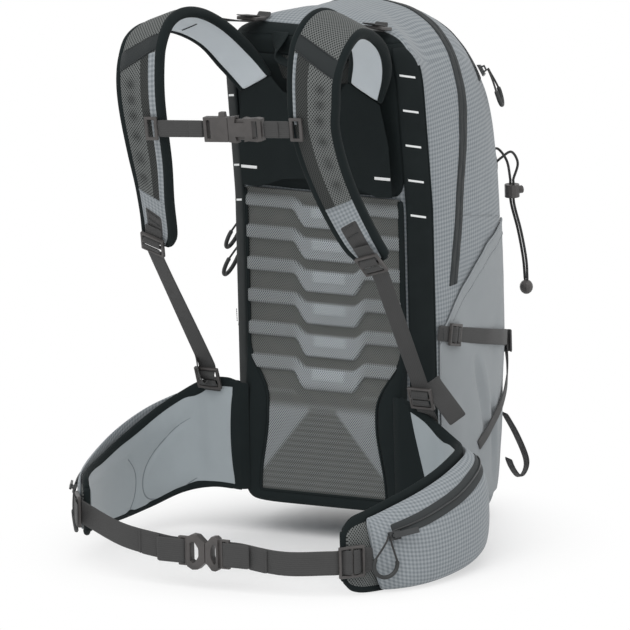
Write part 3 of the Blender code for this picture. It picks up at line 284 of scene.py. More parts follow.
def plain_cloth(name, body, other, pitch=0.0008, grain=0.12, roughness=0.75, sheen=0.15):
    look = Look(name, roughness, sheen=sheen, specular=0.15)
    u, v = look.cloth()
    fine = weave(u, v, pitch)
    uneven = look.noise(45, 4)
    look.colour(look.mix(tone(*body), tone(*other), fine * grain + uneven * 0.25))
    look.rough(roughness - 0.06 + uneven * 0.12)
    look.bump(fine + uneven, 0.0002, 0.5)
    return look.material


CHECK = check_cloth("check_ripstop", (163, 169, 173), (121, 128, 133))
PLAIN = plain_cloth("plain_ripstop", (156, 161, 164), (136, 142, 146))
LINING = plain_cloth("lining", (92, 95, 97), (74, 77, 79))
BINDING = plain_cloth("binding", (29, 36, 37), (20, 26, 27), 0.0011, 0.5, 0.85, 0.02)
BOARD = plain_cloth("coated_board", (26, 33, 34), (19, 25, 26), 0.0006, 0.3, 0.7, 0.0)
PAD_FACE = plain_cloth("brushed_pad", (168, 176, 180), (146, 154, 158), 0.0014, 0.5, 0.92, 0.35)
STRAP_FACE = plain_cloth("brushed_strap", (212, 219, 224), (184, 192, 197), 0.0014, 0.5, 0.92, 0.35)
print("woven cloths", [m.name for m in bpy.data.materials if m.use_nodes][-7:])

# %% [markdown]
# Webbing is woven narrow and thick, with ribs along it and a flat selvedge. Spacer mesh is knit
# in two faces with open holes, staggered like bricks. A value painted on the piece changes both
# colours: paler where foam lies close behind, with a painted highlight on the back panel's ridge
# crests, and painted shade in the dimples of the straps.

# %% Webbing, mesh, tape and cord
def webbing(name, body, other):
    look = Look(name, 0.72, sheen=0.1, specular=0.3)
    u, v = look.cloth()
    ribs = u.wave(0.0021) * 0.5 + 0.5
    twill = (u + v).wave(0.0013) * 0.5 + 0.5
    uneven = look.noise(80, 3)
    share = twill * 0.35 + ribs * 0.25 + uneven * 0.3
    look.colour(look.mix(tone(*body), tone(*other), share))
    look.bump(ribs * 0.6 + twill * 0.6 + uneven * 0.3, 0.00025, 0.6)
    return look.material


def mesh_knit(name, thread, hole, pitch=0.0026, turned=None):
    """Open knit; turned gives its thread and hole colours where the piece's painted value is 1."""
    look = Look(name, 0.85, specular=0.25)
    u, v = look.cloth()
    lattice = u.wave(pitch) * v.wave(pitch * 1.25)
    open_share = lattice.step(-0.05, 0.55)
    shades = [tone(*thread), tone(*hole)]
    if turned:
        foam_and_painted_light = look.node("Attribute", {"attribute_name": "foam_and_painted_light"}, output="Fac")
        shades = [look.mix(plain, tone(*other), foam_and_painted_light) for plain, other in zip(shades, turned)]
    look.colour(look.mix(*shades, open_share))
    look.bump(1 - open_share, 0.0005, 0.8)
    return look.material


WEBBING = webbing("webbing", (74, 74, 74), (54, 54, 54))
# Where the piece's painted value is 1 the back mesh turns paler: the foam behind it plus a painted
# highlight on the ridge crests.
BACK_MESH = mesh_knit("back_spacer_mesh", (108, 110, 108), (55, 57, 56), 0.0024,
                      ((184, 190, 194), (92, 98, 102)))
# Where the piece's painted value is 1 the strap mesh turns darker: painted shade in its dimples.
STRAP_MESH = mesh_knit("strap_spacer_mesh", (114, 117, 116), (26, 30, 30), 0.0030,
                       ((56, 58, 58), (14, 17, 17)))
DARK_MESH = mesh_knit("dark_spacer_mesh", (66, 68, 67), (30, 33, 33), 0.0026)
ZIP_TAPE = plain_cloth("zip_tape", (62, 65, 66), (52, 55, 56), 0.0012, 0.5, 0.6, 0.0)
CORD = webbing("braided_cord", (62, 62, 62), (40, 41, 41))
THREAD = plain_cloth("thread", (58, 61, 62), (46, 49, 50))
print("narrow cloths ready")

# %% [markdown]
# Buckles and locks are moulded in a warm dark grey acetal. The mould leaves a fine spark texture
# and the corners polish with use, so roughness varies and the bump stays shallow. Most hard parts
# are the frame's own solids: their shape is right, and only their finish is given here.

# %% Moulded and metal parts
def moulded(name, body, other, roughness=0.42):
    look = Look(name, roughness)
    spark = look.noise(2400, 2)
    worn = look.noise(70, 5)
    look.colour(look.mix(tone(*body), tone(*other), worn.step(0.35, 0.75)))
    look.rough(roughness - 0.08 + worn * 0.22)
    look.bump(spark, 0.00008, 0.5)
    return look.material


ACETAL = moulded("acetal", (76, 73, 72), (62, 60, 59))
GRIP = moulded("pull_grip", (46, 48, 48), (36, 38, 38), 0.55)
COIL = moulded("zip_coil", (52, 54, 55), (42, 44, 45), 0.35)
SHEET = moulded("frame_sheet", (176, 176, 170), (160, 160, 155), 0.5)
FOAM = moulded("foam", (120, 126, 130), (104, 110, 114), 0.95)
ALLOY = moulded("alloy_rod", (168, 170, 174), (150, 152, 156), 0.3)
ALLOY.node_tree.nodes["Principled BSDF"].inputs["Metallic"].default_value = 1.0
for node, made in frame["nodes"].items():
    finish = {"frame_sheet": SHEET, "frame_stay": ALLOY, "back_foam": FOAM}.get(node, ACETAL)
    if "_slider" in node and "sternum" not in node:
        finish = COIL
    for index in range(len(made.data.materials)):
        made.material_slots[index].link = "OBJECT"
        made.material_slots[index].material = finish
print("hard parts finished", len(frame["nodes"]))

# %% [markdown]
# ## Light and floor
# Soft daylight from a white room and one broad lamp above the wearer's side. The floor is pale
# and plain. It keeps the shadow under the bag, and further out it runs into the white of the
# room, which only the camera and clear or shiny surfaces see at full strength.

# %% Light the room
SOFT_LIGHT, LAMP, LAMP_WAY = 0.62, 1.35, (-0.25, 0.75, -1.15)
SHADOW_MIDDLE, SHADOW_FADE = (0, 0.20, 0), (0.06, 0.32)
world = bpy.data.worlds.new("white_room")
bpy.context.scene.world = world
world.use_nodes = True
room = world.node_tree


def seen_straight(tree):
    """1 where the camera, a mirror or a clear part looks straight at this surface."""
    path = tree.nodes.new("ShaderNodeLightPath")
    total = path.outputs["Is Camera Ray"]
    for other in ("Is Glossy Ray", "Is Transmission Ray"):
        add = tree.nodes.new("ShaderNodeMath")
        add.operation, add.use_clamp = "ADD", True
        tree.links.new(total, add.inputs[0])
        tree.links.new(path.outputs[other], add.inputs[1])
        total = add.outputs[0]
    return total


glow = room.nodes["Background"]
glow.inputs["Color"].default_value = (1, 1, 1, 1)
glow.inputs["Strength"].default_value = SOFT_LIGHT
bright = room.nodes.new("ShaderNodeBackground")
bright.inputs["Color"].default_value = (1, 1, 1, 1)
chosen = room.nodes.new("ShaderNodeMixShader")
room.links.new(seen_straight(room), chosen.inputs[0])
for index, shade in enumerate((glow, bright), 1):
    room.links.new(shade.outputs[0], chosen.inputs[index])
room.links.new(chosen.outputs[0], room.nodes["World Output"].inputs["Surface"])

lamp = bpy.data.objects.new("lamp", bpy.data.lights.new("lamp", "SUN"))
lamp.data.energy = LAMP
lamp.data.angle = radians(50)
lamp.rotation_euler = Vector(LAMP_WAY).to_track_quat("-Z", "Y").to_euler()
bpy.context.scene.collection.objects.link(lamp)
bpy.context.scene.view_settings.view_transform = "Standard"
print("lamp", LAMP, "room", SOFT_LIGHT)

# %% Lay the floor
bm = bmesh.new()
bmesh.ops.create_grid(bm, x_segments=1, y_segments=1, size=30)
bmesh.ops.translate(bm, verts=bm.verts, vec=(0, 0, CAD_BOX[0].z - 0.0002))
floor_mesh = bpy.data.meshes.new("floor")
bm.to_mesh(floor_mesh)
bm.free()
floor = bpy.data.objects.new("floor", floor_mesh)
bpy.context.scene.collection.objects.link(floor)
ground = Look("floor", 0.9)
ground.colour(tone(250, 250, 250))
lit = Socket(ground, ground.shader.outputs[0])
spot = ground.node("VectorMath", {"operation": "ADD"}, {0: ground.place(), 1: SHADOW_MIDDLE})
away = ground.node("VectorMath", {"operation": "LENGTH"}, {0: spot}, output="Value")
white = ground.node("Emission", {}, {"Color": (1, 1, 1, 1), "Strength": 1.0})
fading = ground.node("MixShader", {}, {0: away.step(*SHADOW_FADE), 1: lit, 2: white})
straight = Socket(ground, seen_straight(ground.tree))
shown = ground.node("MixShader", {}, {0: straight, 1: lit, 2: fading})
ground.feed(ground.tree.nodes["Material Output"].inputs["Surface"], shown)
floor_mesh.materials.append(ground.material)
print("floor fades to white between", SHADOW_FADE)

# %% [markdown]
# ## Tools for cloth
# A few small helpers make most of the soft pieces. The first reads a frame part's surface, so
# that fabric can be laid on it, and the next draws a smooth line through a few places. The loft
# pulls a section through its stations by extruding an edge ring again and again, and writes flat
# cloth coordinates in metres as it goes. The last turn the mesh into a named piece.

# %% Read surfaces and draw lines
def surface_of(*nodes):
    """The surface of frame parts, to cast rays on."""
    verts, faces = [], []
    for node in nodes:
        mesh = frame["nodes"][node].data
        start = len(verts)
        verts += [v.co.copy() for v in mesh.vertices]
        faces += [[start + i for i in p.vertices] for p in mesh.polygons]
    return BVHTree.FromPolygons(verts, faces)


def fair(points, steps):
    """A smooth curve through the points, with steps spans between each two."""
    points = [Vector(p) for p in points]
    ends = [2 * points[0] - points[1], *points, 2 * points[-1] - points[-2]]
    found = []
    for before, start, end, after in zip(ends, ends[1:], ends[2:], ends[3:]):
        for step in range(steps):
            t = step / steps
            bend = 2 * start - 2 * end + (end - before) / 2 + (after - start) / 2
            lift = -3 * start + 3 * end - (end - before) - (after - start) / 2
            found.append(start + (end - before) / 2 * t + lift * t * t + bend * t**3)
    found.append(points[-1])
    return found


def measure(line):
    """The length of a line of points."""
    return sum((q - p).length for p, q in zip(line, line[1:]))


print("line tools ready")

# %% Loft a section
def loft(rings, closed=True, paint=None):
    """Pull a section through its stations; paint gives a material number for each face."""
    bm = bmesh.new()
    flat = bm.loops.layers.uv.new("cloth")
    ring = [bm.verts.new(place) for place in rings[0]]
    count = len(ring)
    spans = [(ring[i], ring[(i + 1) % count]) for i in range(count if closed else count - 1)]
    edges = [bm.edges.new(span) for span in spans]
    rows = [ring]
    for places in rings[1:]:
        made = bmesh.ops.extrude_edge_only(bm, edges=edges)["geom"]
        fresh = {item for item in made if isinstance(item, bmesh.types.BMVert)}
        edges = [e for e in made if isinstance(e, bmesh.types.BMEdge) and fresh.issuperset(e.verts)]
        beside = [[e.other_vert(v) for e in v.link_edges] for v in ring]
        ring = [next(v for v in near if v in fresh) for near in beside]
        for vert, place in zip(ring, places):
            vert.co = place
        rows.append(ring)
    where, v = {}, 0.0
    for i, row in enumerate(rows):
        if i:
            v += sum((a.co - b.co).length for a, b in zip(row, rows[i - 1])) / count
        u = 0.0
        for j, vert in enumerate(row):
            if j:
                u += (vert.co - row[j - 1].co).length
            where[vert] = (i, j, u, v)
    for face in bm.faces:
        spots = [where[vert] for vert in face.verts]
        round_trip = {spot[1] for spot in spots} == {0, count - 1} and count > 2
        for loop, (i, j, u, v) in zip(face.loops, spots):
            last = rows[i][-1]
            wrap = where[last][2] + (last.co - rows[i][0].co).length if round_trip and j == 0 else u
            loop[flat].uv = (wrap, v)
        if paint:
            column = count - 1 if round_trip else min(s[1] for s in spots)
            face.material_index = paint(min(s[0] for s in spots), column)
    if closed:
        for row in (rows[0], rows[-1]):
            bm.faces.new(row)
    bmesh.ops.recalc_face_normals(bm, faces=bm.faces)
    return bm


print("loft ready")

# %% Keep a piece
def keep(name, bm, materials, body, *replaced, thick=0.0, offset=-1.0, smooth=0, sharp=None):
    mesh = bpy.data.meshes.new(name)
    bm.to_mesh(mesh)
    bm.free()
    mesh.shade_smooth()
    if sharp:
        mesh.set_sharp_from_angle(angle=sharp)
    made = bpy.data.objects.new(name, mesh)
    bpy.context.scene.collection.objects.link(made)
    for material in materials if isinstance(materials, (list, tuple)) else [materials]:
        mesh.materials.append(material)
    if thick:
        wall = made.modifiers.new("thickness", "SOLIDIFY")
        wall.thickness, wall.offset = thick, offset
    if smooth:
        finer = made.modifiers.new("smooth", "SUBSURF")
        finer.levels = finer.render_levels = smooth
    if body:
        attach(made, body)
    if replaced:
        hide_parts(*replaced)
    return made


def flatten_uv(bm, choose):
    """Flat cloth coordinates straight from each corner's place, in metres."""
    flat = bm.loops.layers.uv.get("cloth") or bm.loops.layers.uv.new("cloth")
    for face in bm.faces:
        for loop in face.loops:
            loop[flat].uv = choose(face, loop.vert.co)


# %% [markdown]
# ## The bag
# On the real bag a back panel, two gussets and a front are sewn into one soft box, held in shape
# by what is inside. Five flat plates would look like a carton. Here a finely cut cube is drawn
# onto the frame's outer surface, like shrink wrap, then relaxed, so that the panels stay whole
# and bulge a little. Two flat cuts part it into body and flap, along the zip and the fold.

# %% Draw a fine cube onto the frame
ZIP_END_Z, ZIP_END_DEPTH, ZIP_SLOPE = 0.257, 0.066, 0.205
ZIP_HALF = 0.0074
FLAP_CORNER_Z, FLAP_HINGE_Z, BODY_DEPTH = 0.325, 0.288, 0.252
FRONT_ZIP_DEPTH, FRONT_ZIP_END_Z = 0.168, 0.445
bag_surface = surface_of("main_body", "front_flap")
body_box, flap_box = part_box("main_body"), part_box("front_flap")
low = Vector([min(a, b) for a, b in zip(body_box[0], flap_box[0])])
high = Vector([max(a, b) for a, b in zip(body_box[1], flap_box[1])])


def zip_depth(z):
    return ZIP_END_DEPTH + ZIP_SLOPE * (z - ZIP_END_Z)


def soft_noise(place, size, seed=0.0):
    """Smooth unevenness of cloth, from -1 to 1, in lumps of one size."""
    return noise.noise(place / size + Vector((seed, 3.1 * seed, 7.7)))


def outermost(core, way, start=0.6, spread=0.004):
    """Where the frame is met from outside: the middle of five rays, so that no slit counts."""
    side = way.orthogonal().normalized()
    depths = []
    for offset in (Vector(), side, -side, way.cross(side), -way.cross(side)):
        hit, distance = bag_surface.ray_cast(core + way * start + offset * spread, -way)[::3]
        depths.append(distance if hit else start)
    return core + way * (start - sorted(depths)[2])


def wrapped_bag(cuts=44):
    bm = bmesh.new()
    bmesh.ops.create_cube(bm, size=2)
    bmesh.ops.subdivide_edges(bm, edges=bm.edges[:], cuts=cuts, use_grid_fill=True)
    panel = bm.faces.layers.int.new("panel")
    for face in bm.faces:
        face.normal_update()
        face[panel] = max(range(3), key=lambda k: abs(face.normal[k]))
    middle, half = (low + high) / 2, (high - low) / 2
    for vert in bm.verts:
        place = middle + Vector([vert.co[k] * half[k] for k in range(3)])
        core = middle + (place - middle) * 0.45
        core.z = min(max(place.z, low.z + 0.11), high.z - 0.15)
        way = (place - core).normalized()
        vert.co = outermost(core, way)
    every_way = {"use_axis_x": True, "use_axis_y": True, "use_axis_z": True}
    for _ in range(5):
        bmesh.ops.smooth_vert(bm, verts=bm.verts[:], factor=0.5, **every_way)
    bm.normal_update()
    for vert in bm.verts:
        calm = min(1.0, max(0.0, abs(vert.co.y - BACK_LINE - 0.01) / 0.03))
        slack = 0.0011 * soft_noise(vert.co, 0.055) + 0.0005 * soft_noise(vert.co, 0.022, 4)
        vert.co += vert.normal * slack * calm
    flatten_uv(bm, lambda face, p: ((p.y, p.z), (p.x, p.z), (p.x, p.y))[face[panel]])
    return bm


shell = wrapped_bag()
ZIP_WAY = Vector((0, 1, -ZIP_SLOPE)).normalized()
FOLD_WAY = Vector((0, FLAP_CORNER_Z - FLAP_HINGE_Z, BODY_DEPTH - zip_depth(FLAP_CORNER_Z)))
FOLD_WAY.normalize()
ZIP_PLACE = Vector((0, BACK_LINE + ZIP_END_DEPTH, ZIP_END_Z))
FOLD_PLACE = Vector((0, BACK_LINE + zip_depth(FLAP_CORNER_Z), FLAP_CORNER_Z))
print("shell", len(shell.faces), "faces")

# %% Part it into body and flap
UPRIGHT = Vector((0, 0, 1))


def cut(bm, place, way, clear=False):
    """Slice a mesh with a plane; clear drops what lies behind it."""
    geometry = bm.verts[:] + bm.edges[:] + bm.faces[:]
    bmesh.ops.bisect_plane(bm, geom=geometry, plane_co=place, plane_no=way, clear_inner=clear)


def in_front(point):
    return (point - ZIP_PLACE).dot(ZIP_WAY) > 0 and (point - FOLD_PLACE).dot(FOLD_WAY) > 0


for name, front, body, node in (("bag_body", False, "bag", "main_body"),
                                ("bag_flap", True, "flap", "front_flap")):
    bm = shell.copy()
    cut(bm, ZIP_PLACE, ZIP_WAY)
    cut(bm, FOLD_PLACE, FOLD_WAY)
    wrong = [face for face in bm.faces if in_front(face.calc_center_median()) != front]
    bmesh.ops.delete(bm, geom=wrong, context="FACES")
    made = keep(name, bm, [CHECK, LINING], body, node, thick=0.0016, smooth=1)
    wall = made.modifiers["thickness"]
    wall.material_offset = 1
    wall.edge_crease_inner = wall.edge_crease_outer = wall.edge_crease_rim = 1.0
    print(name, len(made.data.polygons), "faces")

# %% [markdown]
# ## Zips
# A coated zip shows two dark tapes that meet in a fine line, with the coil hidden behind. Its
# tapes lie exactly on the bag, so each one is a band of the same shell, kept between two planes
# and lifted by its own thickness. The upper part is shared between body and flap.

# %% Bands of the shell as zip tapes
def lifted(bm, lift):
    """Raise a piece of the shell off it."""
    bm.normal_update()
    for vert in bm.verts:
        vert.co += vert.normal * lift
    return bm


def band(name, near, far, way, body, *replaced, floor_z, roof_z=None, lift=0.0009):
    """The strip of the shell between two parallel planes, lifted off it."""
    bm = shell.copy()
    cut(bm, near, way, True)
    cut(bm, far, -way, True)
    cut(bm, UPRIGHT * floor_z, UPRIGHT, True)
    if roof_z:
        cut(bm, UPRIGHT * roof_z, -UPRIGHT, True)
    keep(name, lifted(bm, lift), ZIP_TAPE, body, *replaced, thick=0.0010)


SLIT = 0.00025
slit_way, half_way = ZIP_WAY * SLIT, ZIP_WAY * ZIP_HALF
near_tape = (ZIP_PLACE - half_way, ZIP_PLACE - slit_way, ZIP_WAY)
far_tape = (ZIP_PLACE + slit_way, ZIP_PLACE + half_way, ZIP_WAY)
band("main_tape_body", *near_tape, "bag", floor_z=ZIP_END_Z)
band("main_tape_foot", *far_tape, "bag", floor_z=ZIP_END_Z, roof_z=FLAP_CORNER_Z)
band("main_tape_flap", *far_tape, "flap", floor_z=FLAP_CORNER_Z)
front_place, forward = Vector((0, BACK_LINE + FRONT_ZIP_DEPTH, 0)), Vector((0, 1, 0))
for name, near, far, replaced in (("front_tape_near", -ZIP_HALF, -SLIT, ["front_pocket_zip"]),
                                  ("front_tape_far", SLIT, ZIP_HALF, [])):
    band(name, front_place + forward * near, front_place + forward * far, forward, "flap",
         *replaced, floor_z=FRONT_ZIP_END_Z)
print("zip tapes made")

# %% [markdown]
# Above the foam the back wall is covered with black board cloth, which the harness slides over.
# A patch of dark mesh lies in its middle, behind the grab handle. Each is the same shell again,
# cut to a window on its back side, and a plane parallel to the wall stops it short of the corner.

# %% Upper back wall
WALL_EDGE = 0.0125


def wall_patch(name, half_low, half_high, low, high, lift, material):
    """The part of the shell's back wall inside a window that may widen upwards."""
    bm = shell.copy()
    lean = (half_high - half_low) / (high - low)
    for sign in (-1, 1):
        cut(bm, Vector((sign * half_low, 0, low)), Vector((-sign, 0, lean)), True)
    cut(bm, UPRIGHT * low, UPRIGHT, True)
    cut(bm, UPRIGHT * high, -UPRIGHT, True)
    cut(bm, Vector((0, BACK_LINE + WALL_EDGE, 0)), Vector((0, -1, 0)), True)
    keep(name, lifted(bm, lift), material, "bag", thick=0.0008)


for name, *window, lift, material in (
        ("upper_back_cloth", 0.0925, 0.0925, 0.345, 0.492, 0.0010, BOARD),
        ("upper_back_shoulders", 0.1180, 0.1180, 0.492, 0.511, 0.0010, BOARD),
        ("upper_back_top", 0.1180, 0.1090, 0.511, 0.5210, 0.0010, BOARD),
        ("upper_back_mesh", 0.0370, 0.0450, 0.4680, 0.4915, 0.0018, DARK_MESH)):
    wall_patch(name, *window, lift, material)
print("upper back covered")

# %% [markdown]
# ## Back panel
# The part that touches the wearer is ridged foam under a taut knit mesh. The foam has crosswise
# ridges that step down in the middle, so that air can pass, and fine ribs over the lumbar. The
# mesh follows them softly. A grid with its depth worked out from the ridges gives both the shape
# and a painted value: paler where foam lies close behind, plus a painted highlight on the ridge
# crests and their raised middle blocks.

# %% Shape of the ridges
BACK_WALL_DEPTH, LEAN, LEAN_Z = 0.014, 0.10, 0.340
FOAM_TOP_Z, FOAM_BOTTOM_Z, PANEL_BOTTOM_Z = 0.352, 0.046, 0.033
LUMBAR_RISE, FOAM_THICKNESS = 0.018, 0.0062
RIDGE_PITCH, RIDGE_HEIGHT, RIDGE_DROP = 0.0328, 0.0026, 0.0130
RIDGE_FIRST_Z, RIDGE_MIDDLE, RIDGE_STEP = 0.3397, 0.006, (0.026, 0.042)
RIB_PITCH, RIB_HEIGHT = 0.0056, 0.0007


def ease(value, low, high):
    """0 below low, 1 above high, and smooth between."""
    share = min(max((value - low) / (high - low), 0.0), 1.0)
    return share * share * (3 - 2 * share)


def back_depth(z):
    return BACK_WALL_DEPTH - LEAN * max(0.0, z - LEAN_Z)


def panel_front(z):
    thick = LUMBAR_RISE + (FOAM_THICKNESS - LUMBAR_RISE) * ease(z, 0.120, 0.215)
    return back_depth(z) - thick


def mesh_half_width(z):
    waist = 0.062 + 0.010 * ease(0.125 - z, 0.0, 0.075)
    return waist + (0.0875 - waist) * ease(z, 0.140, 0.195)


def ridge_share(x, z):
    """1 on a ridge of the foam and 0 in the channel between two."""
    step = 1 - ease(abs(x - RIDGE_MIDDLE), *RIDGE_STEP)
    wave = (z - RIDGE_FIRST_Z + RIDGE_DROP * step) / RIDGE_PITCH
    inside = abs(wave - round(wave)) * 2
    wide = 0.30 + 0.26 * step
    return 1 - ease(inside, wide, wide + 0.16)


def island_share(x, z):
    """1 on the small raised block at the top of each ridge's middle."""
    wave = (z - RIDGE_FIRST_Z + RIDGE_DROP) / RIDGE_PITCH
    inside = abs(wave - round(wave) - 0.14) * 2
    return (1 - ease(inside, 0.26, 0.34)) * (1 - ease(abs(x - RIDGE_MIDDLE), 0.016, 0.0205))


def panel_relief(x, z):
    """Height of the mesh over the channels, and how pale it is painted: the foam behind it plus a
    painted highlight.
    """
    ridges = ease(z, 0.142, 0.160) * ease(FOAM_TOP_Z - z, 0.0, 0.014)
    share = ridge_share(x, z) * ridges
    flare = 0.016 + 0.85 * max(0.0, 0.130 - z)
    ribbed = ease(0.140 - z, 0.0, 0.012) * (1 - ease(abs(x), flare - 0.003, flare + 0.003))
    plain = ease(0.140 - z, 0.0, 0.012) * (1 - ribbed)
    rib = (0.5 + 0.5 * cos(2 * pi * z / RIB_PITCH)) * ribbed
    centre = 1 - ease(abs(x - RIDGE_MIDDLE), 0.030, 0.046)
    island = island_share(x, z) * ridges
    height = (RIDGE_HEIGHT + 0.0010) * share + 0.0008 * island + RIB_HEIGHT * rib + 0.0012 * plain
    # The pale value is partly the foam behind the mesh and partly a painted highlight: on the ridge
    # crests, stronger in the middle, and on the raised blocks.
    pale = share * (0.42 + 0.22 * centre) + 0.30 * island + 0.5 * plain + 0.12 * rib
    return height, min(1.0, pale)


print("ridges every", RIDGE_PITCH)

# %% Mesh over the ridges
bm = bmesh.new()
bmesh.ops.create_grid(bm, x_segments=90, y_segments=236, size=1)
bm.loops.layers.uv.new("cloth")
foam_and_painted_light = bm.verts.layers.float.new("foam_and_painted_light")
for vert in bm.verts:
    z = FOAM_BOTTOM_Z + (FOAM_TOP_Z - FOAM_BOTTOM_Z) * (vert.co.y + 1) / 2
    x = vert.co.x * mesh_half_width(z)
    height, vert[foam_and_painted_light] = panel_relief(x, z)
    vert.co = Vector((x, BACK_LINE + panel_front(z) + RIDGE_HEIGHT - height, z))
flatten_uv(bm, lambda face, p: (p.x, p.z))
bmesh.ops.recalc_face_normals(bm, faces=bm.faces)
back_mesh = keep("back_mesh_panel", bm, BACK_MESH, "bag", "back_mesh", thick=0.0008)
print("back mesh", len(back_mesh.data.polygons), "faces")

# %% [markdown]
# The mesh ends in a border of padded knit, wide over the lumbar and thin above it. It is one
# band that runs down one side, under the mesh and up the other, so a loft along that line keeps
# it whole where plates would show their corners. Round piping covers its inner seam.

# %% Border and piping
def border_line(sign):
    """Inner and outer edge of the border from the top of one side down to its corner."""
    rows = []
    for k in range(27):
        z = FOAM_TOP_Z - (FOAM_TOP_Z - FOAM_BOTTOM_Z - 0.004) * k / 26
        rows.append(((sign * mesh_half_width(z), z), (sign * 0.0903, z)))
    edge = sign * mesh_half_width(FOAM_BOTTOM_Z)
    return rows + [((edge, 0.0475), (sign * 0.0890, 0.043)),
                   ((edge * 0.985, 0.0462), (sign * 0.0840, 0.0370)),
                   ((edge * 0.95, 0.0460), (sign * 0.0765, 0.0345))]


FOOT_STATIONS = (-0.056, -0.035, -0.012, 0.012, 0.035, 0.056)
foot = [((x, FOAM_BOTTOM_Z), (x * 1.06, 0.0333)) for x in FOOT_STATIONS]
line = border_line(-1) + foot + border_line(1)[::-1]
rings = []
for (ax, az), (bx, bz) in line:
    ring = []
    for k in range(9):
        s = k / 8
        x, z = ax + (bx - ax) * s, az + (bz - az) * s
        crown = 0.0022 * sin(pi * s) ** 0.6
        z_face = max(z, PANEL_BOTTOM_Z)
        ring.append(Vector((x, BACK_LINE + panel_front(z_face) + 0.0008 - crown, z)))
    for k in range(8, -1, -1):
        x, z = ax + (bx - ax) * k / 8, az + (bz - az) * k / 8
        ring.append(Vector((x, BACK_LINE + back_depth(z) - FIT, z)))
    rings.append(ring)
keep("padded_border", loft(rings), BINDING, "bag", "lumbar_border", smooth=1)


def tube(points, radius, sides):
    """Rings of a round cord along a line of points."""
    rings, across = [], Vector((0.3, 0.1, 1)).normalized()
    for i, place in enumerate(points):
        along = (points[min(i + 1, len(points) - 1)] - points[max(i - 1, 0)]).normalized()
        across = (across - along * across.dot(along)).normalized()
        other = along.cross(across)
        angles = [2 * pi * k / sides for k in range(sides)]
        rings.append([place + (across * cos(a) + other * sin(a)) * radius for a in angles])
    return rings


def round_piece(name, points, radius, material, body, *replaced, sides=8, smooth=1):
    """Piping, binding or cord along a line of points."""
    return keep(name, loft(tube(points, radius, sides)), material, body, *replaced, smooth=smooth)


seam = []
for (x, z), outer in line:
    seam.append(Vector((x, BACK_LINE + panel_front(max(z, PANEL_BOTTOM_Z)) + 0.0005, z)))
round_piece("border_piping", seam, 0.0014, BINDING, "bag")
print("border stations", len(line))

# %% [markdown]
# ## Side strips and yoke
# The harness slides up and down between two coated strips, sewn over the bag's back corners.
# White marks show its height. Those on the strips belong to the finish: each is a thin bar in
# the strip's own flat coordinates, repeated at the real spacing. The yoke has only one on each
# side, so those two are thin printed bars of their own.

# %% The slanted corner and its cloth
STRIP_RUN, STRIP_DEPTH, CORNER_Z, CROWN_Z, TOP_Z = 0.020, 0.017, 0.450, 0.500, 0.533
BACK_HALF_WIDTH, CROWN_DEPTH = 0.092, 0.085
MARK_PITCH, MARK_WIDTH, MARK_LENGTH, MARK_SLANT = 0.0362, 0.0021, 0.0155, 0.20
MARK_FIRST_Z, MARKS_FROM, MARKS_TO = 0.4795, 0.325, 0.500


def fall(share, power):
    """1 at share 0, rounding off to 0 at share 1."""
    share = min(max(share, 0.0), 1.0)
    return (1 - share**power) ** (1 / power)


def back_corner(z):
    """Both ends of the slanted corner strip at a height, as across and depth."""
    corner = fall((z - CORNER_Z) / (TOP_Z - CORNER_Z), 3.5)
    crown = fall((z - CROWN_Z) / (TOP_Z - CROWN_Z), 2.5)
    back = CROWN_DEPTH - (CROWN_DEPTH - back_depth(z)) * crown
    inner = Vector((BACK_HALF_WIDTH * corner, back))
    return inner, inner + Vector((STRIP_RUN, STRIP_DEPTH)) * corner


def marked_board(name):
    """Coated board with white marks: bars a pitch apart along it, between two heights."""
    look = Look(name, 0.7, specular=0.15)
    u = look.cloth()[0]
    split = look.tree.nodes.new("ShaderNodeSeparateXYZ")
    look.feed(split.inputs[0], look.place())
    z = Socket(look, split.outputs[2])
    turns = (z + u * MARK_SLANT + (MARK_PITCH / 2 - MARK_FIRST_Z)) * (1 / MARK_PITCH)
    near_mark = (turns.fract() - 0.5).abs() * MARK_PITCH
    bar = 1 - near_mark.step(MARK_WIDTH / 2 - 0.0001, MARK_WIDTH / 2 + 0.0001)
    middle = 1 - u.abs().step(MARK_LENGTH / 2 - 0.0002, MARK_LENGTH / 2 + 0.0002)
    above, below = (z.step(end - 0.0002, end + 0.0002) for end in (MARKS_FROM, MARKS_TO))
    reach = above * (1 - below)
    uneven = look.noise(50, 4)
    ground = look.mix(tone(26, 33, 34), tone(19, 25, 26), uneven)
    look.colour(look.mix(ground, tone(238, 240, 240), bar * middle * reach))
    look.rough(0.55 + uneven * 0.15)
    look.bump(look.noise(1800, 2), 0.0001, 0.4)
    return look.material


print("corner at mid height", back_corner(0.30))

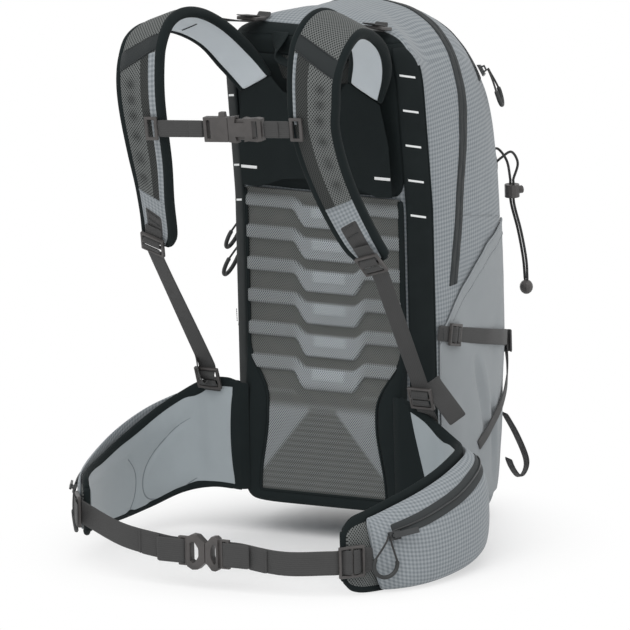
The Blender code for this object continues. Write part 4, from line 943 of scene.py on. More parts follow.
# %% Strips with height marks
STRIP_FACE = marked_board("marked_strip")
slant = Vector((STRIP_RUN, STRIP_DEPTH)).normalized()
out_way = Vector((slant.y, -slant.x))
STRIP_BOTTOM_Z, STRIP_TOP_Z, STRIP_MIDDLE = 0.062, 0.509, 0.0136
STRIP_SECTION = ((-1, 0.0006), (-0.9, 0.0026), (-0.45, 0.0029), (0, 0.0030),
                 (0.45, 0.0029), (0.9, 0.0026), (1, 0.0006))
for side, sign in SIDES:
    rings = []
    for k in range(57):
        z = STRIP_BOTTOM_Z + (STRIP_TOP_Z - STRIP_BOTTOM_Z) * k / 56
        inner, outer = back_corner(z)
        width = 0.55 + 0.45 * fall((z - STRIP_TOP_Z + 0.025) / 0.025, 2)
        middle, half = (inner + outer) / 2, (outer - inner) / 2 * width * 1.03
        ring = []
        for s, lift in STRIP_SECTION:
            spot = middle + half * s + out_way * lift
            ring.append(Vector((sign * spot.x, BACK_LINE + spot.y, z)))
        rings.append(ring)
    bm = loft(rings, closed=False)
    flat = bm.loops.layers.uv["cloth"]
    for face in bm.faces:
        for loop in face.loops:
            loop[flat].uv.x -= STRIP_MIDDLE
    keep("corner_strip_" + side, bm, STRIP_FACE, "bag", "side_strip_" + side,
         thick=0.0020, smooth=1)
    seam = []
    for k in range(58):
        z = STRIP_BOTTOM_Z + 0.0075 * k
        outer = back_corner(z)[1]
        seam.append(Vector((sign * (outer.x + 0.0006), BACK_LINE + outer.y, z)))
    round_piece("corner_piping_" + side, seam, 0.0011, BINDING, "bag", sides=6, smooth=0)
print("strips marked every", MARK_PITCH)

# %% Yoke
YOKE_GAP, YOKE_THICKNESS, YOKE_BOTTOM_Z, YOKE_DIP_Z = 0.010, 0.004, 0.354, 0.450
YOKE_HALF_WIDTH = 0.086
YOKE_MARK_X, YOKE_MARK_Z, YOKE_MARK_SIZE = 0.0765, 0.3752, (0.0180, 0.0004, 0.0029)


def yoke_depth(z):
    return BACK_WALL_DEPTH - LEAN * (z - LEAN_Z) - YOKE_GAP - YOKE_THICKNESS


lower = [(0.0, 0.014), (0.020, 0.0135), (0.040, 0.011), (0.056, 0.005), (0.068, 0.001),
         (YOKE_HALF_WIDTH, 0.002)]
half = [(x, YOKE_BOTTOM_Z + rise) for x, rise in lower]
half += [(YOKE_HALF_WIDTH, 0.380), (YOKE_HALF_WIDTH, 0.410), (0.0795, 0.452), (0.044, 0.472),
         (0.031, YOKE_DIP_Z + 0.007), (0.014, YOKE_DIP_Z + 0.001), (0.0, YOKE_DIP_Z)]
outline = half + [(-x, z) for x, z in half[-2:0:-1]]
bm = bmesh.new()
bm.loops.layers.uv.new("cloth")
corners = [(x, BACK_LINE + yoke_depth(z) + YOKE_THICKNESS, z) for x, z in outline]
face = bm.faces.new([bm.verts.new(corner) for corner in corners])
for inset, rise in ((0.0006, -0.0030), (0.0024, -0.0014), (0.0010, 0.0006), (0.0010, -0.0006)):
    bmesh.ops.inset_region(bm, faces=[face], thickness=inset, depth=0.0)
    bmesh.ops.translate(bm, verts=face.verts, vec=(0, rise, 0))
flatten_uv(bm, lambda face, p: (p.x, p.z))
bmesh.ops.triangulate(bm, faces=[f for f in bm.faces if len(f.verts) > 4])
bmesh.ops.subdivide_edges(bm, edges=bm.edges[:], cuts=1)
bmesh.ops.recalc_face_normals(bm, faces=bm.faces)
keep("harness_board", bm, BOARD, "harness", "harness_yoke", sharp=0.5)
for side, sign in SIDES:
    bm = bmesh.new()
    bm.loops.layers.uv.new("cloth")
    bmesh.ops.create_cube(bm, size=1)
    bmesh.ops.scale(bm, verts=bm.verts, vec=YOKE_MARK_SIZE)
    bmesh.ops.bevel(bm, geom=bm.edges[:], offset=0.0001, segments=1, profile=0.5,
                    affect="EDGES", material=-1)
    place = (sign * YOKE_MARK_X, BACK_LINE + yoke_depth(YOKE_MARK_Z) - 0.0010, YOKE_MARK_Z)
    bmesh.ops.translate(bm, verts=bm.verts, vec=place)
    printed = moulded("mark_" + side, (240, 241, 241), (228, 230, 230), 0.6)
    keep("height_mark_" + side, bm, printed, "harness")
print("yoke outline", len(outline))

# %% [markdown]
# ## Shoulder straps
# A strap is a die-cut foam pad with knit on its outer face, brushed fabric on the wearer's side
# and a folded binding over its edges. Its two edges are smooth curves through a few stations,
# and each section between them is crowned, thin at the edges and full in the middle. A loft of
# such sections keeps the edges exact, which inflating a flat sheet would not.

# %% Strap edges and sections
STRAP_THICKNESS, WEB, TORSO_WEB = 0.012, 0.0014, 0.020
HARNESS_TILT = 0.006
STRAP_INNER = [
    (0.0443, -0.0113, 0.4727), (0.058, -0.027, 0.503), (0.068, -0.058, 0.533),
    (0.074, -0.092, 0.553), (0.076, -0.125, 0.561), (0.0755, -0.153, 0.556),
    (0.074, -0.172, 0.538), (0.0735, -0.178, 0.515), (0.0733, -0.179, 0.485),
    (0.0733, -0.1745, 0.453), (0.0756, -0.164, 0.413), (0.0835, -0.149, 0.370),
    (0.0925, -0.129, 0.331), (0.103, -0.118, 0.3155),
]
STRAP_OUTER = [
    (0.0798, -0.0093, 0.4527), (0.097, -0.023, 0.484), (0.107, -0.045, 0.511),
    (0.116, -0.083, 0.532), (0.124, -0.122, 0.541), (0.1275, -0.150, 0.534),
    (0.1265, -0.166, 0.517), (0.1255, -0.1725, 0.500), (0.1245, -0.173, 0.480),
    (0.122, -0.171, 0.455), (0.1205, -0.161, 0.419), (0.1215, -0.147, 0.386),
    (0.126, -0.131, 0.352), (0.131, -0.1185, 0.3245),
]
STEPS = 6
RIGHT_SWAY = 0.0145  # the right strap hangs further out at its tip


def at(x, depth, z):
    """A place whose depth counts forward from the bag's back line."""
    return Vector((x, BACK_LINE + depth, z))


def strap_edge(points, sign, steps):
    last = len(points) - 1
    placed = []
    for i, (x, depth, z) in enumerate(points):
        tilt = sign * HARNESS_TILT * min(1.0, i / 4, (last - i) / 3)
        sway = RIGHT_SWAY * min(max((i - 9) / 4, 0.0), 1.0) if sign > 0 else 0.0
        placed.append(at(sign * x + sway, depth, z + tilt))
    return fair(placed, steps)


class Strap:
    """Edges of one shoulder strap, and places on its faces."""

    def __init__(self, sign):
        self.sign = sign
        self.inner = strap_edge(STRAP_INNER, sign, STEPS)
        self.outer = strap_edge(STRAP_OUTER, sign, STEPS)
        self.count = len(self.inner)
        self.front = 1 if self.frame(self.count * 2 // 3)[3].y < 0 else -1

    def frame(self, i):
        """Both edges of a row, the way along the strap and the way off its face."""
        a, b = self.inner[i], self.outer[i]
        before, after = max(i - 1, 0), min(i + 1, self.count - 1)
        ahead = self.inner[after] + self.outer[after]
        along = (ahead - self.inner[before] - self.outer[before]).normalized()
        across = (b - a).normalized()
        return a, b, along, across.cross(along).normalized() * self.sign

    def spot(self, row, share, lift=0.0):
        """A place between the edges, lifted from the middle of the pad."""
        row = min(max(row, 0.0), self.count - 1.001)
        i, part = int(row), row - int(row)
        spots = []
        for k in (i, i + 1):
            a, b, along, out = self.frame(k)
            spots.append(a.lerp(b, share) + out * self.front * lift)
        return spots[0].lerp(spots[1], part)

    def half_thick(self, row, share):
        thin = min(1.0, 0.33 + 0.67 * row / STEPS)
        edge = min(share, 1 - share) * 2
        return STRAP_THICKNESS / 2 * thin * (0.42 + 0.58 * min(1.0, max(edge, 0.0) / 0.45) ** 0.55)

    def on_face(self, row, share, lift):
        return self.spot(row, share, self.half_thick(row, share) + lift)


straps = {side: Strap(sign) for side, sign in SIDES}
print("rows of a strap", straps["left"].count)

# %% [markdown]
# The outer face has an open knit with a row of soft dimples, a rail of darker knit for the chest
# strap, a pale strip beside it, and check ripstop at the tip. They meet along drawn lines, so the
# loft's rows and columns are placed on those lines and each face gets its own material.

# %% Padded straps
PALE_FROM, RAIL_FROM, RAIL_TO = 0.10, 0.235, 0.42
FRONT_SHARES = [0.0, 0.03, PALE_FROM, 0.16, RAIL_FROM, 0.29, 0.355, RAIL_TO, 0.48, 0.54, 0.60,
                0.66, 0.72, 0.78, 0.84, 0.90, 0.97, 1.0]
REAR_SHARES = [k / 14 for k in range(15)]
BAND_END, MESH_END, ROLL_FROM = 6.25, 11.0, 8.7
DIMPLES = [7.45 + 0.62 * k for k in range(6)]
DIMPLE_DEPTH, DIMPLE_SHARE, DIMPLE_SHADE = 0.0021, 0.66, 0.9
DARK_WEAVE = plain_cloth("dark_weave", (45, 49, 50), (35, 39, 40), pitch=0.0011, roughness=0.7)


def flattened(wide_power, thick_power):
    """Corners of a flattened round section, from -1 to 1 across and through."""
    turns = [2 * pi * k / 12 for k in range(12)]
    return [(copysign(abs(cos(a)) ** wide_power, cos(a)),
             copysign(abs(sin(a)) ** thick_power, sin(a))) for a in turns]


for side, strap in straps.items():
    rows = list(range(strap.count))
    rings = []
    for i in rows:
        ring = []
        for share in FRONT_SHARES:
            lift = strap.half_thick(i, share)
            aside = ((share - DIMPLE_SHARE) / 0.10) ** 2
            pit = max(exp(-(((i / STEPS - middle) / 0.17) ** 2) - aside) for middle in DIMPLES)
            ring.append(strap.spot(i, share, lift - DIMPLE_DEPTH * pit))
        ring += [strap.spot(i, share, -strap.half_thick(i, share)) for share in REAR_SHARES[::-1]]
        rings.append(ring)

    def paint(i, j):
        if j >= len(FRONT_SHARES) - 1:
            return 1
        share, station = FRONT_SHARES[j] + 0.01, i / STEPS
        pale_to = RAIL_FROM if strap.sign < 0 else (0.16 if station < ROLL_FROM else PALE_FROM)
        if station >= MESH_END or (station > BAND_END and PALE_FROM <= share < pale_to):
            return 2
        return 3 if station > BAND_END and PALE_FROM <= share < RAIL_TO else 0

    bm = loft(rings, paint=paint)
    # Painted shade in the dimples: the mesh colour is darkened round each of them.
    shade = bm.verts.layers.float.new("foam_and_painted_light")
    pits = [strap.on_face(middle * STEPS, DIMPLE_SHARE + 0.01, 0.0) for middle in DIMPLES]
    for vert in bm.verts:
        near = min((vert.co - pit).length for pit in pits)
        vert[shade] = DIMPLE_SHADE * exp(-(near / 0.0050) ** 2)
    pad = keep("strap_pad_" + side, bm, [STRAP_MESH, STRAP_FACE, CHECK, DARK_MESH], "harness",
               "shoulder_strap_" + side, smooth=1)
    for edge, share in (("inner", 0.045), ("outer", 0.955)):
        rings = []
        for i in rows:
            spot = strap.spot(i, share)
            a, b, along, out = strap.frame(i)
            across = (b - a).normalized()
            thick = strap.half_thick(i, 0.10) + 0.0011
            wide = 0.0030 + 0.0016 * min(1.0, i / STEPS)
            section = flattened(0.75, 1)
            rings.append([spot + across * wide * c + out * thick * s for c, s in section])
        keep(f"strap_binding_{edge}_{side}", loft(rings), BINDING, "harness", smooth=1)
    tip = []
    for k in range(17):
        row = strap.count - 1.6 + 0.55 * sin(pi * k / 16)
        tip.append(strap.spot(row, 0.03 + 0.94 * k / 16))
    round_piece("strap_tip_" + side, tip, 0.0050, BINDING, "harness", sides=12)
print("straps padded and bound")

# %% [markdown]
# A woven band is sewn slantwise over each strap where the knit changes. A webbing tab over the
# tip holds the lock. Thin ribbons laid on the strap's own face follow every curve of the pad,
# and rows of small stitches hold them down: each stitch is a short bead of thread.

# %% Stitch rows
def stitches(name, line, body, pitch=0.0030, length=0.0021, size=0.00030, material=THREAD):
    """Small beads of thread along a line of points, one every pitch."""
    spans = [(q - p).length for p, q in zip(line, line[1:])]
    bm = bmesh.new()
    bm.loops.layers.uv.new("cloth")
    for k in range(int(sum(spans) / pitch)):
        distance, i = (k + 0.5) * pitch, 0
        while i < len(spans) - 1 and distance > spans[i]:
            distance -= spans[i]
            i += 1
        step = (line[i + 1] - line[i]).normalized()
        side = step.cross(Vector((0.3, -0.9, 0.2))).normalized()
        turned = Matrix((step * length, side * size * 2, step.cross(side) * size * 2))
        matrix = turned.transposed().to_4x4()
        matrix.translation = line[i] + step * distance
        bead = bmesh.ops.create_cube(bm, size=1)["verts"]
        bmesh.ops.transform(bm, matrix=matrix, verts=bead)
    keep(name, bm, material, body)


def laid(strap, rows, low, high, lift, columns=7):
    """Rings of a ribbon on a strap's outer face between two edges given as (row, share)."""
    rings = []
    for k in range(rows + 1):
        a = [low[0][n] + (low[1][n] - low[0][n]) * k / rows for n in (0, 1)]
        b = [high[0][n] + (high[1][n] - high[0][n]) * k / rows for n in (0, 1)]
        ring = []
        for m in range(columns):
            row, share = (a[n] + (b[n] - a[n]) * m / (columns - 1) for n in (0, 1))
            ring.append(strap.on_face(row, share, lift))
        rings.append(ring)
    return rings


print("stitches and laid ribbons ready")

# %% Bands, tabs and seams
BAND_UPPER = ((5.55 * STEPS, 0.06), (5.85 * STEPS, 0.94))
BAND_LOWER = ((6.25 * STEPS, 0.06), (6.80 * STEPS, 0.94))
TAB_FROM, TAB_TO, TACK_ROW = 11.5, 12.6, 2.95 * STEPS
for side, strap in straps.items():
    rings = laid(strap, 16, BAND_UPPER, BAND_LOWER, 0.0006)
    keep("cross_band_" + side, loft(rings, closed=False), DARK_WEAVE, "harness",
         thick=0.0010, smooth=1)
    for name, edge, shift in (("high", BAND_UPPER, 0.3), ("low", BAND_LOWER, -0.3)):
        line = []
        for k in range(17):
            row = edge[0][0] + (edge[1][0] - edge[0][0]) * k / 16 + shift
            line.append(strap.on_face(row, 0.10 + 0.80 * k / 16, 0.0014))
        stitches(f"cross_band_stitch_{name}_{side}", line, "harness")
    a, b = strap.frame(int(12 * STEPS))[:2]
    half = TORSO_WEB / 2 / (b - a).length
    tab_low, tab_high = 0.5 - half, 0.5 + half
    edges = [((TAB_FROM * STEPS, share), (TAB_TO * STEPS, share)) for share in (tab_low, tab_high)]
    keep("tip_tab_" + side, loft(laid(strap, 10, *edges, 0.0006), closed=False), WEBBING,
         "harness", thick=0.0012, smooth=1)
    for k, row in enumerate((TAB_FROM + 0.05, TAB_FROM + 0.30)):
        shares = [tab_low + (tab_high - tab_low) * (0.08 + 0.84 * n / 6) for n in range(7)]
        line = [strap.on_face(row * STEPS, share, 0.0014) for share in shares]
        stitches(f"tip_tab_stitch_{k}_{side}", line, "harness", pitch=0.0022, length=0.0017)
    behind = -strap.half_thick(TACK_ROW, 0.5) - 0.0006
    steps = [k / 6 - 0.5 for k in range(7)]
    tack = [strap.spot(TACK_ROW + 0.4 * t, 0.50 + 0.46 * t, behind) for t in steps]
    round_piece("strap_tack_" + side, tack, 0.0006, BINDING, "harness", sides=6)
    row = MESH_END * STEPS + 0.2
    seam = [strap.on_face(row, 0.10 + 0.80 * k / 14, 0.0005) for k in range(15)]
    round_piece("tip_seam_" + side, seam, 0.0006, CHECK, "harness", sides=6)
print("bands, tabs and stitches laid")

# %% [markdown]
# ## Webbing through the locks
# A webbing reaches a ladder lock behind its outer bar, rises into the window and dives in at the
# middle bar, where a second webbing from the other side meets it. Webbing bends in one direction
# and hardly stretches, so a ribbon along a line of points is closer to it than any simulation.
# Places are read from the frame's locks, and the lines stand off the bars by half a thickness.

# %% Ribbons and turns
LOCK_HEIGHT, LOCK_BAR, LOCK_DEPTH = 0.024, 0.0026, 0.0036
STAND_OFF = LOCK_DEPTH / 2 + WEB / 2 + FIT


def frame_of(place, across, down):
    """A matrix with local X along across and local -Z along down."""
    x = Vector(across).normalized()
    z = -(Vector(down) - x * x.dot(Vector(down))).normalized()
    y = z.cross(x)
    matrix = Matrix((x, y, z)).transposed().to_4x4()
    matrix.translation = Vector(place)
    return matrix


def centre_of(node):
    """The middle of a frame part's box."""
    low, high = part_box(node)
    return (low + high) / 2


def turn(frame, bar, stand_off, sense, front=1):
    """A webbing's half circle round a lock's middle bar."""
    angles = [pi * step / 8 for step in range(9)]
    around = [(-front * stand_off * cos(a), sense * (bar / 2 + stand_off * sin(a))) for a in angles]
    return [frame @ Vector((0, y, z)) for y, z in around]


def threaded(frame, end, front=-1, height=LOCK_HEIGHT):
    """A webbing from behind the outer bar at one end of a lock to its middle bar's front."""
    rim = height / 2 - LOCK_BAR
    steps = ((-1.0, rim + 0.0070), (-1.0, rim + 0.0016), (-0.20, rim - 0.0008),
             (0.62, rim - 0.0028), (1.0, rim - 0.0052), (0.98, 0.0007))
    points = fair([(0, front * STAND_OFF * y, end * z) for y, z in steps], 3)
    return [frame @ p for p in points]


def ribbon(name, centres, ways, width, body, *replaced, thick=WEB, columns=7):
    """A webbing along centre points; ways says where its width points at each of them."""
    ways = ways if isinstance(ways, list) else [Vector(ways)] * len(centres)
    rings = []
    for place, way in zip(centres, ways):
        half = Vector(way).normalized() * width / 2
        rings.append([place + half * (2 * k / (columns - 1) - 1) for k in range(columns)])
    bm = loft(rings, closed=False)
    return keep(name, bm, WEBBING, body, *replaced, thick=thick, offset=0.0, smooth=1)


def twisting(held, start_way, end_way, shares):
    """Width directions of a webbing that twists between two held stretches of given counts."""
    twist = [start_way.lerp(end_way, ease(share, 0.0, 1.0)) for share in shares]
    return [start_way] * held[0] + twist + [end_way] * held[1]


print("webbing stands off its bars by", round(STAND_OFF, 5))

# %% Webbing from strap tip to foot
# The free tails hang in a plane that slants across the bag, given by these three directions.
ASIDE, DOWNWARD = Vector((0.866, 0.500, -0.013)), Vector((0.099, -0.179, -0.979))
FORWARD = DOWNWARD.cross(ASIDE)
TAILS = {
    "right": [(0.002, -0.008, -0.0040), (0.008, -0.014, -0.0036), (0.0104, -0.0168, 0.0),
              (0.0116, -0.0135, 0.0036), (0.0185, -0.0035, 0.0046), (0.0275, 0.009, 0.0044),
              (0.0367, 0.022, 0.0030)],
    "left": [(-0.002, -0.026, 0.0), (-0.008, -0.034, 0.0), (-0.0135, -0.031, 0.0),
             (-0.011, -0.018, 0.0), (-0.0095, -0.006, 0.0), (-0.0045, 0.0055, 0.0),
             (0.0005, 0.002, 0.0)],
}
TAIL_WAYS = {"right": ASIDE * 0.818 - DOWNWARD * 0.575, "left": FORWARD}
TWIST_SHARES = (0.2, 0.4, 0.6, 0.8)
for side, strap in straps.items():
    a, b = strap.frame(strap.count - 1)[:2]
    middle = (a + b) / 2
    across = (b - a).normalized() * strap.sign
    low_place = centre_of("anchor_lock_" + side)
    upper = frame_of(middle, across, low_place - middle)
    off_pad = STRAP_THICKNESS / 2 + WEB / 2 + STAND_OFF + 2 * FIT
    upper.translation = upper @ Vector((0, -off_pad, 0.002))
    lower_lock = frame_of(low_place, (1, 0, 0), (0, 0.35, -1))
    top_part = threaded(upper, -1)[::-1]
    low_part = threaded(lower_lock, 1)
    line = top_part + [top_part[-1].lerp(low_part[0], t) for t in TWIST_SHARES] + low_part
    upper_way, lower_way = upper.col[0].xyz, lower_lock.col[0].xyz
    held = (len(top_part), len(low_part))
    ways = twisting(held, upper_way, lower_way, TWIST_SHARES)
    web = ribbon("lower_webbing_" + side, line, ways, TORSO_WEB, None, "lower_web_" + side)
    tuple(top_part[-1])
    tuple(low_part[0])
    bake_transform(web)
    sewn = threaded(upper, 1)
    sewn_from = [Vector((0, STAND_OFF + 0.0006, LOCK_HEIGHT / 2 + reach))
                 for reach in (0.0110, 0.0075, 0.0045)]
    on_pad = [upper @ place for place in sewn_from]
    ribbon("strap_band_" + side, on_pad + sewn[1:], upper_way, TORSO_WEB, "harness")
    rooted = threaded(lower_lock, -1)
    below = [lower_lock @ Vector((0, STAND_OFF + 0.004, -LOCK_HEIGHT / 2 - reach))
             for reach in (0.020, 0.012)]
    ribbon("anchor_band_" + side, below + rooted, lower_way, TORSO_WEB, "bag")
    print("lower web", side, round(measure(line), 3))
    centres = [low_place + ASIDE * u + DOWNWARD * v + FORWARD * w for u, v, w in TAILS[side]]
    ribbon("lower_tail_" + side, fair(centres, 4), TAIL_WAYS[side], TORSO_WEB, "bag")

# %% [markdown]
# The load lifters draw the strap tops back to the bag. The chest strap and the hip belt end in
# stitched folds at their buckles: a second layer a few centimetres long, with its raw end folded
# in. The fold is a short ribbon of its own, because a doubled web looks thicker only there.

# %% Lifters, chest strap and belt
LIFTER_WEB, LIFTER_Z, LIFTER_ROW, LIFTER_LOCK = 0.0155, 0.524, int(2.5 * STEPS), 0.022
STERNUM_WEB, BELT_WEB = 0.0175, 0.025
LIFTER_SHARES = (0.25, 0.5, 0.75)
for side, strap in straps.items():
    sign = strap.sign
    a, b, along, out = strap.frame(LIFTER_ROW)
    across = (b - a).normalized()
    out = out if out.z > 0 else -out
    start = (a + b) / 2 + out * ((STRAP_THICKNESS + WEB) / 2 + 0.0008)
    inner = back_corner(LIFTER_Z)[0]
    seat = at(sign * inner.x, inner.y, LIFTER_Z)
    run = (seat - start).normalized()
    holder = frame_of(seat - run * (LIFTER_LOCK / 2 + 0.0045), (1, 0, 0), run)
    leave = holder @ Vector((0, -STAND_OFF, 0.014))
    line = [start - run * 0.010, start, *[start.lerp(leave, t) for t in LIFTER_SHARES], leave]
    around = turn(holder, LOCK_BAR, STAND_OFF, -1)
    back = [holder @ Vector((0, STAND_OFF, 0.012)), holder @ Vector((0, STAND_OFF + 0.001, 0.020))]
    line += around + back
    held = (2, len(around) + 3)
    ways = twisting(held, across * sign, Vector((1, 0, 0)), LIFTER_SHARES)
    web = ribbon("lifter_webbing_" + side, line, ways, LIFTER_WEB, None, "load_lifter_" + side)
    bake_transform(web)
    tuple(leave)
    into, under = seat + Vector((0, 0.001, 0.001)), seat + Vector((0, 0.004, 0.006))
    root = holder @ Vector((0, 0.0010, -0.0098))
    ribbon("lifter_root_" + side, [root, root.lerp(into, 0.5), into, under], (1, 0, 0),
           LIFTER_WEB, "bag")

CHEST_Z, CHEST_SLOPE = 0.454, HARNESS_TILT / 0.083
way = (-CHEST_SLOPE, 0, 1)
for side, body in (("left", "sternum_buckle"), ("right", "sternum")):
    low_corner, high_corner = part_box("sternum_web_" + side)
    y = (low_corner.y + high_corner.y) / 2
    near, far = low_corner.x + 0.0006, high_corner.x - 0.0006
    stations = [near + (far - near) * k / 8 for k in range(9)]
    line = [Vector((x, y, CHEST_Z + CHEST_SLOPE * x)) for x in stations]
    if side == "left":
        web = ribbon("chest_web_left", line, way, STERNUM_WEB, None, "sternum_web_left")
        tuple(line[1])
        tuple(line[-2])
        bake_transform(web)
        from_buckle = line[::-1]
    else:
        ribbon("chest_web_right", line, way, STERNUM_WEB, body, "sternum_web_right")
        from_buckle = line
    inward = (from_buckle[1] - from_buckle[0]).normalized()
    off = Vector((0, -0.0014, 0))
    fold = [from_buckle[0] + inward * (0.002 + 0.004 * k) + off for k in range(5)]
    ribbon("chest_fold_" + side, fold, way, STERNUM_WEB - 0.0006, body, thick=0.0012)
print("lifters and chest strap made")

# %% [markdown]
# ## Hip wings
# A wing wraps round the wearer's hip: firm foam under brushed fabric, thicker in the middle, with
# moulded lines that let it flex, and a folded binding all round. Its plan curve and two edge
# heights set a row of upright sections. The moulded lines are pressed in by their distance from
# drawn curves, with a thin darker cord in each that paints the shade of the groove. Black cloth
# covers the root beside the back panel.

# %% Plan and edges of a wing
WING_PATH = [
    (BACK_HALF_WIDTH - 0.0012, -0.0055), (0.125, -0.0065), (0.157, -0.013), (0.178, -0.042),
    (0.185, -0.090), (0.178, -0.145), (0.162, -0.195), (0.152, -0.214), (0.146, -0.222),
]
WING_EDGES = {
    1: [(0.043, 0.156), (0.036, 0.137), (0.028, 0.114), (0.014, 0.109), (0.005, 0.104),
        (0.0007, 0.096), (0.0007, 0.084), (0.004, 0.078), (0.013, 0.068)],
    -1: [(0.043, 0.156), (0.044, 0.155), (0.037, 0.141), (0.026, 0.128), (0.022, 0.114),
         (0.027, 0.101), (0.032, 0.095), (0.034, 0.092), (0.041, 0.086)],
}
WING_THICKNESS, WING_STEPS, TURN_LIFT, PAD_DROP = 0.009, 12, 0.0085, 0.0105


def hump(station, first, run):
    """A smooth rise and fall, from 0 to 1 and back, that starts at first and is run long."""
    share = min(1.0, max(0.0, (station - first) / run))
    return sin(pi * share) ** 2


def wing_stations(sign):
    """Centre in plan, way out, bottom and top of a wing along its length."""
    plan = fair([(x, y, 0) for x, y in WING_PATH], WING_STEPS)
    edges = fair([(bottom, top, 0) for bottom, top in WING_EDGES[sign]], WING_STEPS)
    if sign > 0:
        for n, edge in enumerate(edges):
            edge.y += TURN_LIFT * hump(n / WING_STEPS, 0.9, 4.3)
    rows = []
    for i, (place, edge) in enumerate(zip(plan, edges)):
        ahead = plan[min(i + 1, len(plan) - 1)] - plan[max(i - 1, 0)]
        out = Vector((-ahead.y, ahead.x)).normalized()
        rows.append((Vector((place.x, place.y)), out, edge.x, edge.y))
    return rows


def row_at(rows, n):
    """A section between two of the sections."""
    i = min(int(n), len(rows) - 2)
    a, b, part = rows[i], rows[i + 1], n - i
    heights = [a[k] + (b[k] - a[k]) * part for k in (2, 3)]
    return a[0].lerp(b[0], part), a[1].lerp(b[1], part), *heights


def wing_place(sign, row, lift, share):
    place, out, bottom, top = row
    spot = place + out * lift
    return Vector((sign * spot.x, BACK_LINE + spot.y, bottom + (top - bottom) * share))


print("wing stations", len(wing_stations(1)))

# %% Moulded lines and thickness
STATION_GAP, WING_HEIGHT, GROOVE_WIDTH, GROOVE_DEPTH = 0.032, 0.095, 0.0024, 0.0016
MOULDED_LINES = [
    [(3.83, 0.72), (3.62, 0.55), (3.56, 0.40), (3.62, 0.22), (3.78, 0.06)],
    [(1.67, 0.70), (2.15, 0.70), (2.58, 0.65), (3.0, 0.58), (3.25, 0.48), (3.35, 0.34),
     (3.30, 0.20), (3.08, 0.10), (2.7, 0.06), (2.33, 0.05), (1.9, 0.07), (1.50, 0.11)],
]
GROOVES = [fair([(i, h, 0) for i, h in line], 6) for line in MOULDED_LINES]


def groove_depth(i, share):
    """How far the moulded lines are pressed in at a place, from 0 to 1."""
    deepest = 0.0
    for line in GROOVES:
        off = [((i - p.x) * STATION_GAP) ** 2 + ((share - p.y) * WING_HEIGHT) ** 2 for p in line]
        deepest = max(deepest, exp(-min(off) / GROOVE_WIDTH**2))
    return deepest


def pad_edge(share):
    """0 on the upper and lower edge of the pad, 1 where it has its full thickness."""
    return min(1.0, min(share, 1 - share) / 0.22)


def pad_end(n, last):
    """How thick the pad still is near its tip."""
    return min(1.0, 0.35 + (last - n) / 10)


def inner_lift(n, last, share, sign):
    """Depth of the pad's inner face at one of its rows."""
    edge, place = pad_edge(share), Vector((n / WING_STEPS * 0.03, share * 0.09, sign))
    uneven = 0.0010 * soft_noise(place, 0.03) * edge
    valley = 0.0034 * exp(-((n / WING_STEPS - 1.42) / 0.30) ** 2) * edge
    crown = WING_THICKNESS / 2 * (0.40 + 0.75 * edge**0.6) * pad_end(n, last)
    return uneven - crown + valley


def root_reach(sign, share):
    """How far along the wing its root is covered."""
    return 0.36 + 0.86 * (1 - share) if sign > 0 else 0.32 - 0.13 * (2 * share - 1) ** 2


print("moulded lines", len(GROOVES))

# %% Pads, bindings and roots
# A darker cloth for the thin cord laid in each moulded groove: painted shade of the groove.
PAD_GROOVE_SHADE = plain_cloth("pad_groove_shade", (128, 135, 139), (112, 119, 123), 0.0010, 0.4, 0.9, 0.1)
BINDINGS = (("top", 1.0, -1, 0.0078, 0.0060), ("bottom", 0.0, 1, 0.0046, 0.0044))


def pad_rows(sign):
    """The wing's sections, with the left pad's top edge lower in front of its pocket."""
    rows = wing_stations(sign)
    if sign > 0:
        return rows
    lowered = []
    for n, (place, out, bottom, top) in enumerate(rows):
        lowered.append((place, out, bottom, top - PAD_DROP * hump(n / WING_STEPS, 1.3, 5.2)))
    return lowered


